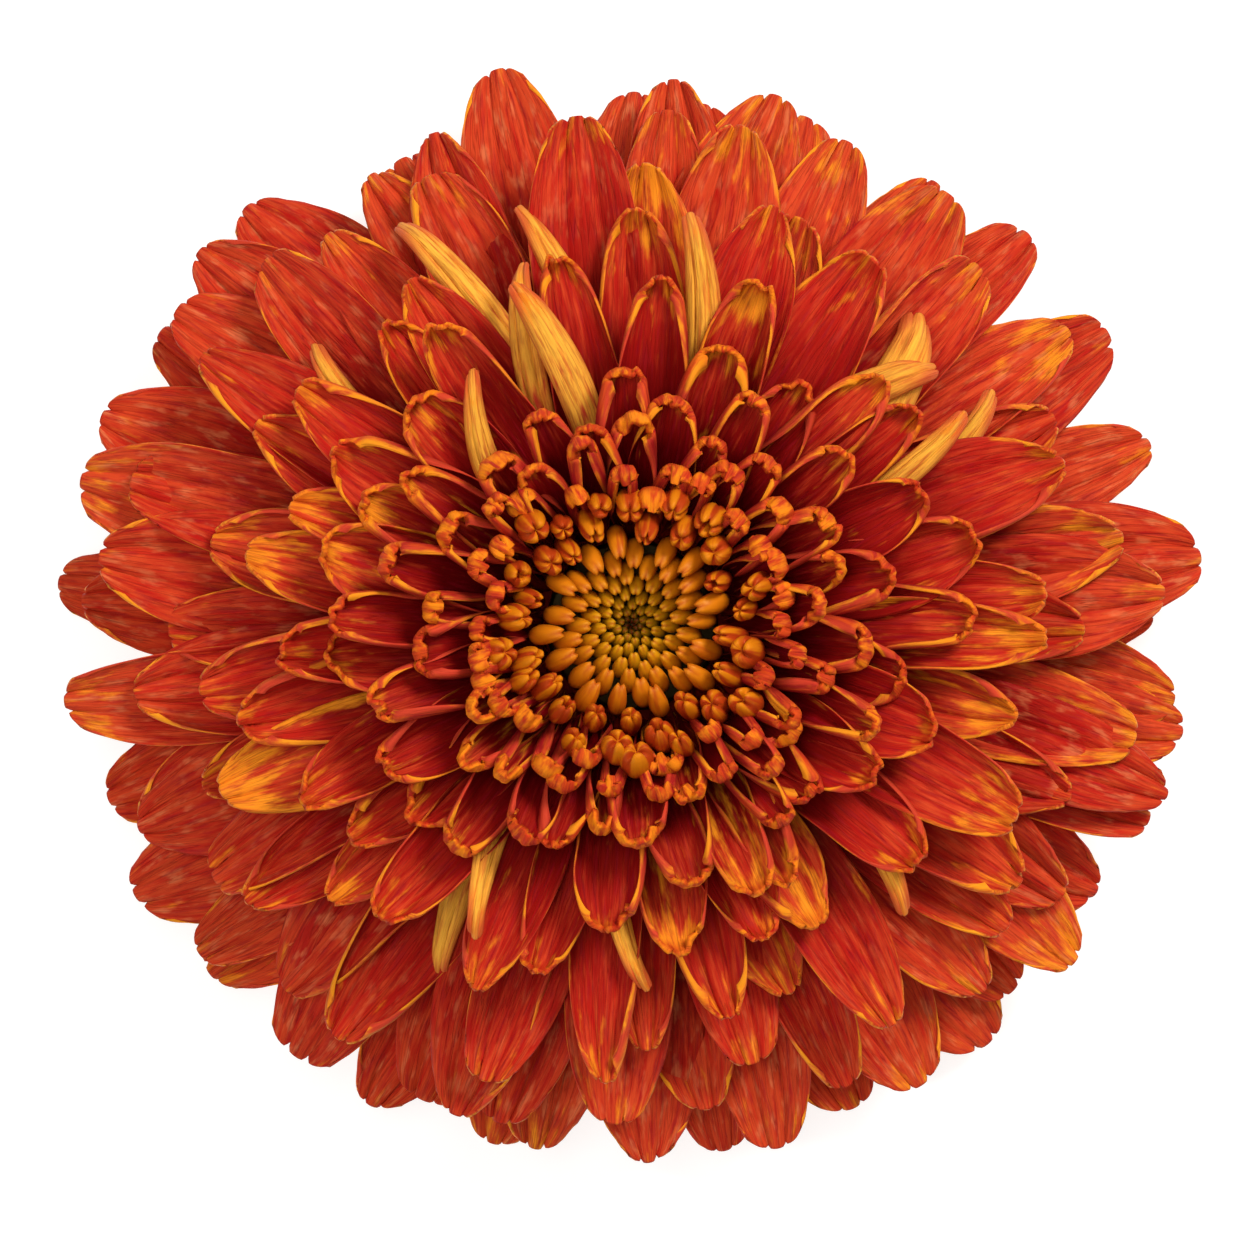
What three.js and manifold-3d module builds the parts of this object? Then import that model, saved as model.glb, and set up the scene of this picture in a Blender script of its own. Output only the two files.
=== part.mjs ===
// A cremon chrysanthemum bloom, picked with a short cut stalk, resting face up on a surface.
// Millimetres, +Z up. The origin is the middle of the stalk's cut face, which lies on the surface.
// The bloom is a composite head: strap-shaped ray florets in six crowded rows round a receptacle,
// a row of short hooded ones, a ring of florets just opening, closed disc florets leaning over a
// small crater at the top, and green bracts and a stalk below.
import * as THREE from "three";
import { mergeVertices } from "three/addons/utils/BufferGeometryUtils.js";
import Module from "manifold-3d";

const wasm = await Module();
wasm.setup();

// Driving dimensions
const BLOOM_RADIUS = 54.5; // reach of the longest ray florets from the axis
const BLOOM_HEIGHT = 37; // height that the rows of florets are set out by
const GOLDEN_ANGLE = THREE.MathUtils.degToRad(137.508); // turn from one floret to the next younger one
const ROW = 34; // florets in one row round the head
const RAY_ROWS = 6; // rows of open, strap-shaped florets
const RAYS = ROW * RAY_ROWS;
const HOODED = 30; // short ray florets, still rolled up to a hood
const KNOBS = 36; // florets just opening, with their lobes still folded shut
const BUDS = 96; // closed florets in the crater
const RESTING = 5; // outermost florets whose tips lie on the surface
const SCATTER_SEED = 15; // fixes every random draw

const CLEARANCE = 0.3; // between one piece and the next
const STALK = { radius: 3.2, top: 8.2, ridges: 5, ridgeDepth: 0.06, corners: 20 };
const CUP = { base: STALK.top + CLEARANCE, height: 2.8, footRadius: 3.8, radius: 9.8, sides: 24 };
const CORE = { base: CUP.base + CUP.height + CLEARANCE, height: 8.6, radius: 10.9, taper: 0.7 };
const BED = { base: CORE.base + CORE.height + CLEARANCE, height: 1.2, radius: 8.2 };
const CORE_SIDES = 12; // of the receptacle and of the bed that the closed florets grow from
const CORNER_TURN = 0.13; // radians that turn the corners of these bodies off the florets' edges
const ROOT_DEPTH = 0.6; // how far a floret starts inside what it grows from
const SLIVER = 0.04; // detail smaller than this is dropped where pieces are joined
const TOUCHING = 0.004; // points of two folds that lie closer than this are drawn apart
const BLADE_THICKNESS = 0.9; // of a ray floret along its midline

// How a ray floret's shape changes from the outermost row (0) to the innermost (7)
const RAY = {
  reach: [0.98, 0.94, 0.865, 0.755, 0.61, 0.455, 0.34, 0.25].map((share) => share * BLOOM_RADIUS),
  tipHeight: [0.09, 0.23, 0.39, 0.56, 0.73, 0.87, 0.93, 0.94].map((share) => share * BLOOM_HEIGHT),
  rootRadius: [9.3, 9.3, 9.2, 9.1, 9.0, 8.9, 8.8, 8.7],
  rootHeight: [12.6, 13.8, 15.0, 16.2, 17.3, 18.3, 19.0, 19.4],
  rootLift: [4, 14, 25, 36, 48, 58, 66, 68], // degrees above level where it leaves the receptacle
  tipLift: [-24, -20, -14, -6, 6, 22, 44, 80], // degrees above level at its tip
  width: [10.2, 9.6, 8.8, 8.0, 7.0, 6.0, 5.2, 4.8],
  cup: [6, 12, 24, 40, 56, 70, 82, 96], // degrees that each half of its section turns up
  loose: [0.5, 1, 1.4, 1.6, 1.4, 1.1, 0.8, 0.6], // how far the florets stray from the rule
};
// How far a floret strays from the rule, at a looseness of 1
const RAY_SCATTER = {
  reach: 2.2,
  height: 1.2,
  turn: THREE.MathUtils.degToRad(3),
  tipLift: 11, // degrees
  width: 0.15, // share of the width
  cup: 0.25, // share of the cup
};

// Tips that make the outline of the bloom: azimuth in degrees and reach from the axis
const RIM_TIPS = [
  [2, 50.7], [7, 55.1], [19.4, 52.9], [31.4, 53.6], [44.7, 53.2], [55.5, 52.0], [66, 50.6],
  [71.1, 51.7], [74.8, 52.7], [82.3, 50.5], [85.7, 52.5], [89.8, 51.4], [103.7, 55.0],
  [112, 50.8], [116.5, 50.0], [120.1, 49.9], [132.7, 55.1], [139.2, 55.0], [145.2, 53.1],
  [148.1, 53.5], [158.5, 54.8], [160.3, 51.8], [165.3, 54.5], [175.7, 55.7], [177.5, 52.9],
  [187.7, 54.7], [198.4, 53.2], [202.3, 51.2], [208.6, 54.4], [217.2, 52.1], [219.5, 52.8],
  [232, 52.4], [241.5, 52.7], [246.2, 49.8], [255, 52.0], [259.5, 51.2], [271.8, 51.4],
  [280, 51.4], [285.5, 52.1], [294.6, 51.2], [302.2, 52.1], [310.3, 53.0], [316.3, 50.8],
  [322.8, 53.3], [330.1, 51.6], [339.5, 53.0], [342.4, 53.6], [348.9, 54.0], [352.1, 52.7],
];

// Straps that have turned their back up: azimuth in degrees, reach and width
const TURNED_STRAPS = [
  [47, 41.5, 9.0], [40.8, 38.6, 7.0], [33, 42.0, 4.8], [32.5, 37.9, 4.2], [82, 39.5, 5.0],
  [105, 41.9, 4.8], [107, 36.7, 4.4], [109, 34.4, 5.6], [120, 45.5, 5.2], [122, 28.4, 5.4],
  [138.7, 41.3, 4.4], [241.5, 39.7, 5.4], [243.3, 33.1, 4.2], [272.4, 34.8, 4.4],
  [313.4, 38.1, 4.2],
];
const STRAP_RISE = 1.5; // how much higher a turned strap lies than its neighbours
const AZIMUTH_WEIGHT = 0.6; // of a degree of azimuth against a millimetre of reach

// Stations along a ray floret: share of its length, and share of its full width there
const BLADE_STATIONS = [
  [0, 0.1],
  [0.6, 0.92],
  [0.91, 0.8],
];

// A hooded floret: a short spindle along the arch of a ray floret
const HOOD = {
  fullness: 0.5, // its radius as a share of half the width of an open floret there
  stations: [
    [0, 0.2],
    [0.8, 1],
  ],
};

// How an opening floret's shape changes from the outermost to the innermost
const KNOB = {
  rootRadius: 8.6,
  rootHeight: 19.6,
  tipRadius: [12, 9.2],
  tipHeight: [34.4, 32.9],
  scatter: { tip: 0.5, turn: THREE.MathUtils.degToRad(3), lean: 18, radius: 0.12 },
  rootLift: [60, 66],
  tipLift: 118, // beyond upright, so that the tips lean inwards
  fullness: 0.42,
  radius: [1.5, 1.1],
  stations: [
    [0, 0.3],
    [0.85, 1],
  ],
};

// A closed floret's shape, from the middle of the crater (first) to its rim (second)
const BUD = {
  ringShare: 0.965, // how nearly the youngest one stands on the axis
  rootRadius: [0, 7.2],
  tipRadius: [0, 6.3],
  tipBend: 1.15, // how the tips crowd towards the middle
  tipHeight: [24, 32],
  rootLift: [90, 70],
  tipLift: [100, 150],
  scatter: { turn: THREE.MathUtils.degToRad(2), radius: 0.08 },
  fullness: 0.46,
  radius: [0.36, 0.9],
  stations: [
    [0, 0.5],
    [0.62, 0.94],
    [0.88, 0.84],
  ],
};
const SPINDLE_SIDES = 4;

// Rows of bracts, the longest uppermost
const BRACT_ROWS = [
  { count: 15, length: 8.4, lift: 4, rootRadius: 8.2, rootHeight: 10.2 },
  { count: 13, length: 7.6, lift: -3, rootRadius: 6.6, rootHeight: 9.7 },
  { count: 11, length: 6.4, lift: -8, rootRadius: 5, rootHeight: 9.5 },
];
const BRACT = { curl: 8, keel: 0.4, edge: 0.25, rootHalfWidth: 1.3, halfWidth: 1.8, widest: 0.6 };

// A repeatable draw between -1 and 1 for one floret and one purpose
function scatter(index, purpose) {
  const x = Math.sin((index + 1) * 12.9898 + (purpose + SCATTER_SEED) * 78.233) * 43758.5453;
  return 2 * (x - Math.floor(x)) - 1;
}

// A table's value at a row that may lie between two of its entries
function atRow(table, row) {
  const low = Math.min(Math.floor(row), table.length - 2);
  return THREE.MathUtils.lerp(table[low], table[low + 1], Math.min(row - low, 1));
}

function upward(lift) {
  const angle = THREE.MathUtils.degToRad(lift);
  return new THREE.Vector2(Math.cos(angle), Math.sin(angle));
}

// A curve in the floret's own upright plane: x is the distance from the axis, y the height
function arch(root, tip, rootLift, tipLift, fullness = 0.36) {
  const pull = root.distanceTo(tip) * fullness;
  const leaving = upward(rootLift).multiplyScalar(pull).add(root);
  const arriving = upward(tipLift).multiplyScalar(-pull).add(tip);
  return new THREE.CubicBezierCurve(root, leaving, arriving, tip);
}

// The place in space of a point in a floret's plane, moved sideways along the rim
function place(radius, height, sideways, azimuth) {
  return new THREE.Vector3(
    radius * Math.cos(azimuth) - sideways * Math.sin(azimuth),
    radius * Math.sin(azimuth) + sideways * Math.cos(azimuth),
    height,
  );
}

// A closed solid through rings of points, ending in one point
function loft(rings, apex) {
  const sides = rings[0].length;
  const points = rings.flat().concat([apex]);
  const faces = [];
  for (let ring = 0; ring < rings.length - 1; ring++) {
    for (let side = 0; side < sides; side++) {
      const next = (side + 1) % sides;
      const [a, b] = [ring * sides + side, ring * sides + next];
      faces.push(a, b, a + sides, b, b + sides, a + sides);
    }
  }
  const last = (rings.length - 1) * sides;
  for (let side = 0; side < sides; side++) {
    faces.push(last + side, last + ((side + 1) % sides), points.length - 1);
  }
  for (let side = 1; side < sides - 1; side++) faces.push(0, side + 1, side);
  const geometry = new THREE.BufferGeometry().setFromPoints(points);
  geometry.setIndex(faces);
  return geometry;
}

function solidOf(geometry) {
  geometry.deleteAttribute("normal");
  geometry.deleteAttribute("uv");
  const merged = mergeVertices(geometry, 1e-4);
  return new wasm.Manifold(
    new wasm.Mesh({
      numProp: 3,
      vertProperties: new Float32Array(merged.attributes.position.array),
      triVerts: new Uint32Array(merged.index.array),
    }),
  );
}

// Where two folds of a surface touch in a point, draws each fold a little back into its own body
function partFolds(geometry) {
  const { position, normal } = geometry.attributes;
  const points = Array.from({ length: position.count }, (_, index) =>
    new THREE.Vector3().fromBufferAttribute(position, index),
  );
  const byPlace = points.map((_, index) => index).sort((a, b) => points[a].x - points[b].x);
  const touching = new Set();
  byPlace.forEach((one, order) => {
    for (let next = order + 1; next < byPlace.length; next++) {
      const other = byPlace[next];
      if (points[other].x - points[one].x > TOUCHING) break;
      if (points[one].distanceTo(points[other]) < TOUCHING) touching.add(one).add(other);
    }
  });
  for (const index of touching) {
    const inward = new THREE.Vector3().fromBufferAttribute(normal, index).negate();
    const { x, y, z } = points[index].addScaledVector(inward, 2 * TOUCHING);
    position.setXYZ(index, x, y, z);
  }
  return geometry;
}

// The surface of a joined solid, without the slivers that joining leaves
function geometryOf(solid) {
  const mesh = solid.asOriginal().simplify(SLIVER).getMesh();
  const geometry = new THREE.BufferGeometry();
  geometry.setAttribute("position", new THREE.BufferAttribute(mesh.vertProperties, mesh.numProp));
  geometry.setIndex(new THREE.BufferAttribute(mesh.triVerts, 1));
  geometry.computeVertexNormals();
  return partFolds(geometry);
}

// How far a floret of this number stands from an azimuth, in degrees
function offBy(azimuth, index) {
  const turn = azimuth - THREE.MathUtils.radToDeg(index * GOLDEN_ANGLE);
  return Math.abs(THREE.MathUtils.euclideanModulo(turn + 180, 360) - 180);
}

// Gives each entry of a table to the free floret that fits it best, and takes that one off the list
function settle(entries, free, misfit) {
  const settled = new Map();
  for (const entry of entries) {
    const misfits = free.map((index) => misfit(entry, index));
    const best = misfits.indexOf(Math.min(...misfits));
    settled.set(free.splice(best, 1)[0], entry);
  }
  return settled;
}

const outermost = Array.from({ length: RIM_TIPS.length }, (_, index) => index);
const rim = settle(RIM_TIPS, outermost, ([azimuth], index) => offBy(azimuth, index));
const others = Array.from({ length: RAYS - RIM_TIPS.length }, (_, index) => RIM_TIPS.length + index);
const turnedStraps = settle(TURNED_STRAPS, others, ([azimuth, reach], index) =>
  Math.hypot(offBy(azimuth, index) * AZIMUTH_WEIGHT, reach - atRow(RAY.reach, index / ROW)),
);

// One ray floret: its azimuth, the arch of its midline, its width and how far it is cupped
function rayFloret(index) {
  const row = index / ROW;
  const loose = atRow(RAY.loose, row);
  const [ruleAzimuth, ruleReach, ruleWidth] = [
    index * GOLDEN_ANGLE + loose * scatter(index, 1) * RAY_SCATTER.turn,
    atRow(RAY.reach, row) + loose * scatter(index, 2) * RAY_SCATTER.reach,
    atRow(RAY.width, row) * (1 + scatter(index, 4) * RAY_SCATTER.width),
  ];
  const [degrees, reach = ruleReach, width = ruleWidth] =
    rim.get(index) ?? turnedStraps.get(index) ?? [];
  const azimuth = degrees === undefined ? ruleAzimuth : THREE.MathUtils.degToRad(degrees);
  const height = atRow(RAY.tipHeight, row) + loose * scatter(index, 3) * RAY_SCATTER.height;
  const rise = turnedStraps.has(index) ? STRAP_RISE : 0;
  const root = new THREE.Vector2(atRow(RAY.rootRadius, row), atRow(RAY.rootHeight, row));
  const tip = new THREE.Vector2(reach, index < RESTING ? 0 : height + rise);
  const tipLift = atRow(RAY.tipLift, row) + loose * scatter(index, 17) * RAY_SCATTER.tipLift;
  return {
    azimuth,
    midline: arch(root, tip, atRow(RAY.rootLift, row), tipLift),
    halfWidth: width / 2,
    cup: THREE.MathUtils.degToRad(atRow(RAY.cup, row)) * (1 + scatter(index, 5) * RAY_SCATTER.cup),
  };
}

// A four-cornered section that sags between its raised edges, carried along the midline
function blade({ azimuth, midline, halfWidth, cup }) {
  const half = BLADE_THICKNESS / 2;
  const rings = BLADE_STATIONS.map(([along, share]) => {
    const middle = midline.getPoint(along);
    const ahead = midline.getTangent(along);
    const up = new THREE.Vector2(-ahead.y, ahead.x);
    const edgeOut = (halfWidth * share * Math.sin(cup)) / cup;
    const edgeUp = (halfWidth * share * (1 - Math.cos(cup))) / cup;
    const corners = [
      [-edgeOut, edgeUp],
      [0, -half],
      [edgeOut, edgeUp],
      [0, half],
    ];
    return corners.map(([sideways, rise]) =>
      place(middle.x + up.x * rise, middle.y + up.y * rise, sideways, azimuth),
    );
  });
  const tip = midline.getPoint(1);
  return solidOf(loft(rings, place(tip.x, tip.y, 0, azimuth)));
}

// A spindle round a midline, for florets that are still rolled shut: each station is a share of
// the length, and the share of the full radius there
function spindle(azimuth, midline, stations, radius) {
  const rings = stations.map(([along, share]) => {
    const middle = midline.getPoint(along);
    const ahead = midline.getTangent(along);
    const up = new THREE.Vector2(-ahead.y, ahead.x);
    return Array.from({ length: SPINDLE_SIDES }, (_, side) => {
      const turn = (side * 2 * Math.PI) / SPINDLE_SIDES;
      const rise = -radius * share * Math.cos(turn);
      const sideways = radius * share * Math.sin(turn);
      return place(middle.x + up.x * rise, middle.y + up.y * rise, sideways, azimuth);
    });
  });
  const tip = midline.getPoint(1);
  return solidOf(loft(rings, place(tip.x, tip.y, 0, azimuth)));
}

function hooded(index) {
  const { azimuth, midline, halfWidth } = rayFloret(RAYS + index);
  return spindle(azimuth, midline, HOOD.stations, halfWidth * HOOD.fullness);
}

// The florets just opening: short tubes standing round the crater
function knob(index) {
  const number = RAYS + HOODED + index;
  const between = ([outer, inner]) => THREE.MathUtils.lerp(outer, inner, index / KNOBS);
  const azimuth = number * GOLDEN_ANGLE + scatter(number, 1) * KNOB.scatter.turn;
  const root = new THREE.Vector2(KNOB.rootRadius, KNOB.rootHeight);
  const tip = new THREE.Vector2(
    between(KNOB.tipRadius) + scatter(number, 2) * KNOB.scatter.tip,
    between(KNOB.tipHeight) + scatter(number, 3) * KNOB.scatter.tip,
  );
  const tipLift = KNOB.tipLift + scatter(number, 4) * KNOB.scatter.lean;
  const midline = arch(root, tip, between(KNOB.rootLift), tipLift, KNOB.fullness);
  const radius = between(KNOB.radius) * (1 + scatter(number, 5) * KNOB.scatter.radius);
  return spindle(azimuth, midline, KNOB.stations, radius);
}

// The closed florets: the younger, the smaller, the nearer to the middle and the deeper
function bud(index) {
  const number = RAYS + HOODED + KNOBS + index;
  const azimuth = number * GOLDEN_ANGLE + scatter(number, 1) * BUD.scatter.turn;
  const outward = 1 - (BUD.ringShare * index) / BUDS;
  const between = ([middle, rim], share = outward) => THREE.MathUtils.lerp(middle, rim, share);
  const root = new THREE.Vector2(between(BUD.rootRadius), BED.base + ROOT_DEPTH);
  const tip = new THREE.Vector2(between(BUD.tipRadius, outward ** BUD.tipBend), between(BUD.tipHeight));
  const midline = arch(root, tip, between(BUD.rootLift), between(BUD.tipLift), BUD.fullness);
  const radius = between(BUD.radius) * (1 + scatter(number, 5) * BUD.scatter.radius);
  return spindle(azimuth, midline, BUD.stations, radius);
}

// A solid of revolution from a profile of [radius, height] pairs, given from the bottom up
function turned(profile, sides) {
  const outline = profile.map(([radius, height]) => new THREE.Vector2(radius, height));
  return solidOf(new THREE.LatheGeometry(outline, sides, CORNER_TURN).rotateX(Math.PI / 2));
}

function rayFlorets() {
  const core = turned(
    [
      [0, CORE.base],
      [CORE.radius, CORE.base],
      [CORE.radius - CORE.taper, CORE.base + CORE.height],
      [0, CORE.base + CORE.height],
    ],
    CORE_SIDES,
  );
  const blades = Array.from({ length: RAYS }, (_, index) => blade(rayFloret(index)));
  const hoods = Array.from({ length: HOODED }, (_, index) => hooded(index));
  const knobs = Array.from({ length: KNOBS }, (_, index) => knob(index));
  return wasm.Manifold.union([core, ...blades, ...hoods, ...knobs]);
}

function discFlorets() {
  const bed = turned(
    [
      [0, BED.base],
      [BED.radius, BED.base],
      [BED.radius, BED.base + BED.height],
      [0, BED.base + BED.height],
    ],
    CORE_SIDES,
  );
  const buds = Array.from({ length: BUDS }, (_, index) => bud(index));
  return wasm.Manifold.union([bed, ...buds]);
}

// One bract: a small pointed leaf pressed up against the underside of the bloom
function bract(azimuth, { length, lift, rootRadius, rootHeight }) {
  const root = new THREE.Vector2(rootRadius, rootHeight);
  const tip = upward(lift).multiplyScalar(length).add(root);
  const midline = arch(root, tip, lift - BRACT.curl, lift + BRACT.curl);
  const rings = [
    [0, BRACT.rootHalfWidth],
    [BRACT.widest, BRACT.halfWidth],
  ].map(([along, halfWidth]) => {
    const { x, y } = midline.getPoint(along);
    return [
      place(x, y + BRACT.edge, -halfWidth, azimuth),
      place(x, y - BRACT.keel, 0, azimuth),
      place(x, y + BRACT.edge, halfWidth, azimuth),
      place(x, y + BRACT.keel, 0, azimuth),
    ];
  });
  return solidOf(loft(rings, place(tip.x, tip.y, 0, azimuth)));
}

// The bracts in their rows, on the shallow cup that carries them
function involucre() {
  const cup = turned(
    [
      [0, CUP.base],
      [CUP.footRadius, CUP.base],
      [CUP.radius * 0.86, CUP.base + CUP.height * 0.4],
      [CUP.radius, CUP.base + CUP.height * 0.75],
      [CUP.radius, CUP.base + CUP.height],
      [0, CUP.base + CUP.height],
    ],
    CUP.sides,
  );
  const bracts = BRACT_ROWS.flatMap((bractRow, row) =>
    Array.from({ length: bractRow.count }, (_, index) =>
      bract(((index + row / 2) * 2 * Math.PI) / bractRow.count, bractRow),
    ),
  );
  return wasm.Manifold.union([cup, ...bracts]);
}

// The stalk as cut: flat below, with blunt ridges down its sides
function stalk() {
  const corners = Array.from({ length: STALK.corners }, (_, corner) => {
    const turn = (corner * 2 * Math.PI) / STALK.corners;
    const radius = STALK.radius * (1 + STALK.ridgeDepth * Math.cos(STALK.ridges * turn));
    return new THREE.Vector2(radius * Math.cos(turn), radius * Math.sin(turn));
  });
  return new THREE.ExtrudeGeometry(new THREE.Shape(corners), {
    depth: STALK.top,
    bevelEnabled: false,
  });
}

function piece(name, geometry, color, roughness) {
  const material = new THREE.MeshStandardMaterial({ color, roughness, metalness: 0 });
  const mesh = new THREE.Mesh(geometry, material);
  mesh.name = name;
  return mesh;
}

const bloom = new THREE.Group();
bloom.name = "cremon_chrysanthemum";
bloom.add(
  piece("ray_florets", geometryOf(rayFlorets()), 0xb8321a, 0.6),
  piece("disc_florets", geometryOf(discFlorets()), 0xc98a1a, 0.55),
  piece("involucre", geometryOf(involucre()), 0x5c7a35, 0.65),
  piece("stalk", stalk(), 0x6d8a45, 0.6),
);

export default bloom;
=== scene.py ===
# %% [markdown]
# # A cremon chrysanthemum bloom
# A chrysanthemum is not one flower but a head of many small ones, the florets. The outer ones each
# grow one long strap, the petal that we see. The inner ones are still closed buds. This lesson dresses
# a plain model of the head: every floret keeps its place, and gets its real curl, teeth and colours.

# %% Open the plain model
import math

import bpy
import numpy as np
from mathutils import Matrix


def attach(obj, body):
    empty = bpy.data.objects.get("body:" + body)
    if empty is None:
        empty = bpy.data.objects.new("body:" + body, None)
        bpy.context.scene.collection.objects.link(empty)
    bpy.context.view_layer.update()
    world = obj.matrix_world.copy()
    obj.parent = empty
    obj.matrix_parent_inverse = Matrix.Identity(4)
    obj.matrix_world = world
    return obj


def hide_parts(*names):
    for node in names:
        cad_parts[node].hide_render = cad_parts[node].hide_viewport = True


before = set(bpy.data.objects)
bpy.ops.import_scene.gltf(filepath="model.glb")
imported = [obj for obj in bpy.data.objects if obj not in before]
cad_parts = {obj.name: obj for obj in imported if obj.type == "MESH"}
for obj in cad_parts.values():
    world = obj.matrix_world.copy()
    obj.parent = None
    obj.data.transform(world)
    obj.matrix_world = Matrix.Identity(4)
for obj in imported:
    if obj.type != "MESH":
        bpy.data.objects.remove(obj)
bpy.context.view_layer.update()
MM = 0.001

# %% [markdown]
# ## Camera, floor and light
# The bloom is seen from straight above, on a white surface. A real lens that is far away keeps the
# rim from looking larger than the middle, so the camera stands almost a metre up. The light comes
# through large soft panels, as in a studio, with the stronger one at the upper right.

# %% Set up the studio
bpy.ops.object.select_all(action="DESELECT")
CAMERA_HEIGHT = 0.95
RIM_HEIGHT = 10 * MM
VIEW_WIDTH = 120.4 * MM  # of the whole picture, at the height of the rim
VIEW_CENTRE = (-0.48 * MM, -0.19 * MM)
FLOOR_SIZE = 3
SKY_STRENGTH = 0.22
bpy.ops.object.camera_add(location=(*VIEW_CENTRE, CAMERA_HEIGHT))
camera = bpy.context.object
camera.data.lens = camera.data.sensor_width * (CAMERA_HEIGHT - RIM_HEIGHT) / VIEW_WIDTH
camera.data.clip_end = 10
bpy.context.scene.camera = camera
bpy.context.scene.view_settings.view_transform = "Standard"

bpy.ops.mesh.primitive_plane_add(size=FLOOR_SIZE)
floor = bpy.context.object
floor.name = "studio_floor"


def add_panel(name, place, size, strength, colour):
    """A round soft light that faces the bloom."""
    bpy.ops.object.light_add(type="AREA", location=place)
    panel = bpy.context.object
    panel.name = name
    panel.data.shape = "DISK"
    panel.data.size = size
    panel.data.energy = strength
    panel.data.color = colour
    turn = panel.location.normalized().to_track_quat("Z", "Y")
    panel.rotation_euler = turn.to_euler()


add_panel("key_panel", (0.45, 0.5, 0.75), 0.35, 8.5, (1.0, 0.97, 0.93))
add_panel("top_panel", (-0.25, 0.1, 1.25), 0.8, 6.5, (1.0, 0.99, 0.97))
add_panel("fill_panel", (-0.7, -0.5, 0.5), 0.6, 2.0, (0.96, 0.98, 1.0))

world = bpy.data.worlds.new("studio")
bpy.context.scene.world = world
world.use_nodes = True
world.node_tree.nodes["Background"].inputs["Color"].default_value = (1, 1, 1, 1)
world.node_tree.nodes["Background"].inputs["Strength"].default_value = SKY_STRENGTH
print("camera lens, mm:", round(camera.data.lens, 1))

# %% [markdown]
# ## Where each floret grows
# The plant sets out its florets one by one, each a fixed angle round from the last. That angle, about
# 137.5 degrees, is the golden angle, and it is why no two florets ever stand in line. The same rule
# gives the azimuth, the arch, the width and the hollow of every floret here, from the outermost one
# (number 0) inwards. Small differences come from a repeatable draw, so the bloom is the same each run.

# %% The numbers of the head
GOLDEN_ANGLE = math.radians(137.508)
ROW = 34  # florets in one row round the head
RAYS = 204
HALF_OPEN = 30  # short florets that are still hooded
KNOBS = 36  # florets just opening
BUDS = 96  # closed florets
RESTING = 5  # outermost florets, whose tips lie on the surface
SCATTER_SEED = 15
BLOOM_RADIUS = 54.5 * MM
BLOOM_HEIGHT = 37 * MM

# Azimuth in degrees and reach in mm of the tips that make the bloom's outline
RIM_TIPS = [
    (2, 50.7), (7, 55.1), (19.4, 52.9), (31.4, 53.6), (44.7, 53.2), (55.5, 52.0), (66, 50.6),
    (71.1, 51.7), (74.8, 52.7), (82.3, 50.5), (85.7, 52.5), (89.8, 51.4), (103.7, 55.0), (112, 50.8),
    (116.5, 50.0), (120.1, 49.9), (132.7, 55.1), (139.2, 55.0), (145.2, 53.1), (148.1, 53.5),
    (158.5, 54.8), (160.3, 51.8), (165.3, 54.5), (175.7, 55.7), (177.5, 52.9), (187.7, 54.7),
    (198.4, 53.2), (202.3, 51.2), (208.6, 54.4), (217.2, 52.1), (219.5, 52.8), (232, 52.4),
    (241.5, 52.7), (246.2, 49.8), (255, 52.0), (259.5, 51.2), (271.8, 51.4), (280, 51.4),
    (285.5, 52.1), (294.6, 51.2), (302.2, 52.1), (310.3, 53.0), (316.3, 50.8), (322.8, 53.3),
    (330.1, 51.6), (339.5, 53.0), (342.4, 53.6), (348.9, 54.0), (352.1, 52.7),
]
# Straps that have turned their golden back up: azimuth in degrees, then the reach, the width and
# how far the tip stands above its neighbours, in mm
STRAPS = [
    (47, 41.5, 8.4, 2.2), (40.8, 38.6, 6.4, 2.2), (33, 42.0, 4.3, 2.2), (32.5, 37.9, 3.7, 2.2),
    (82, 39.5, 4.8, 2.2), (105, 41.9, 4.4, 3.6), (107, 36.7, 4.0, 2.2), (109, 34.4, 5.0, 1.6),
    (120, 45.5, 4.8, 2.2), (122, 28.4, 3.7, 1.2), (138.7, 41.3, 3.9, 2.2), (241.5, 39.7, 4.4, -1.5),
    (243.3, 33.1, 3.5, 0.2), (272.4, 34.8, 3.7, 0.4), (313.4, 38.1, 3.7, 1.2),
]
LIFTED = {59: 2.4 * MM, 76: 1.3 * MM}  # florets whose tips would pierce a neighbour
# From the outermost row to the innermost
REACH = BLOOM_RADIUS * np.array([0.98, 0.94, 0.865, 0.755, 0.61, 0.455, 0.34, 0.25])
TIP_HEIGHT = BLOOM_HEIGHT * np.array([0.09, 0.23, 0.39, 0.56, 0.73, 0.87, 0.93, 0.94])
ROOT_RADIUS = MM * np.array([9.3, 9.3, 9.2, 9.1, 9.0, 8.9, 8.8, 8.7])
ROOT_HEIGHT = MM * np.array([12.6, 13.8, 15.0, 16.2, 17.3, 18.3, 19.0, 19.4])
ROOT_LIFT = np.radians([4, 14, 25, 36, 48, 58, 66, 68])
TIP_LIFT = np.radians([-24, -20, -14, -6, 6, 22, 44, 80])
WIDTH = MM * np.array([11.2, 11.0, 10.4, 9.8, 9.2, 8.2, 6.4, 4.6])
CUP = np.radians([6, 12, 26, 38, 52, 70, 98, 126])
LOOSE = np.array([0.5, 1, 1.4, 1.6, 1.4, 1.1, 0.8, 0.6])  # how far the florets stray from the rule

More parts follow.
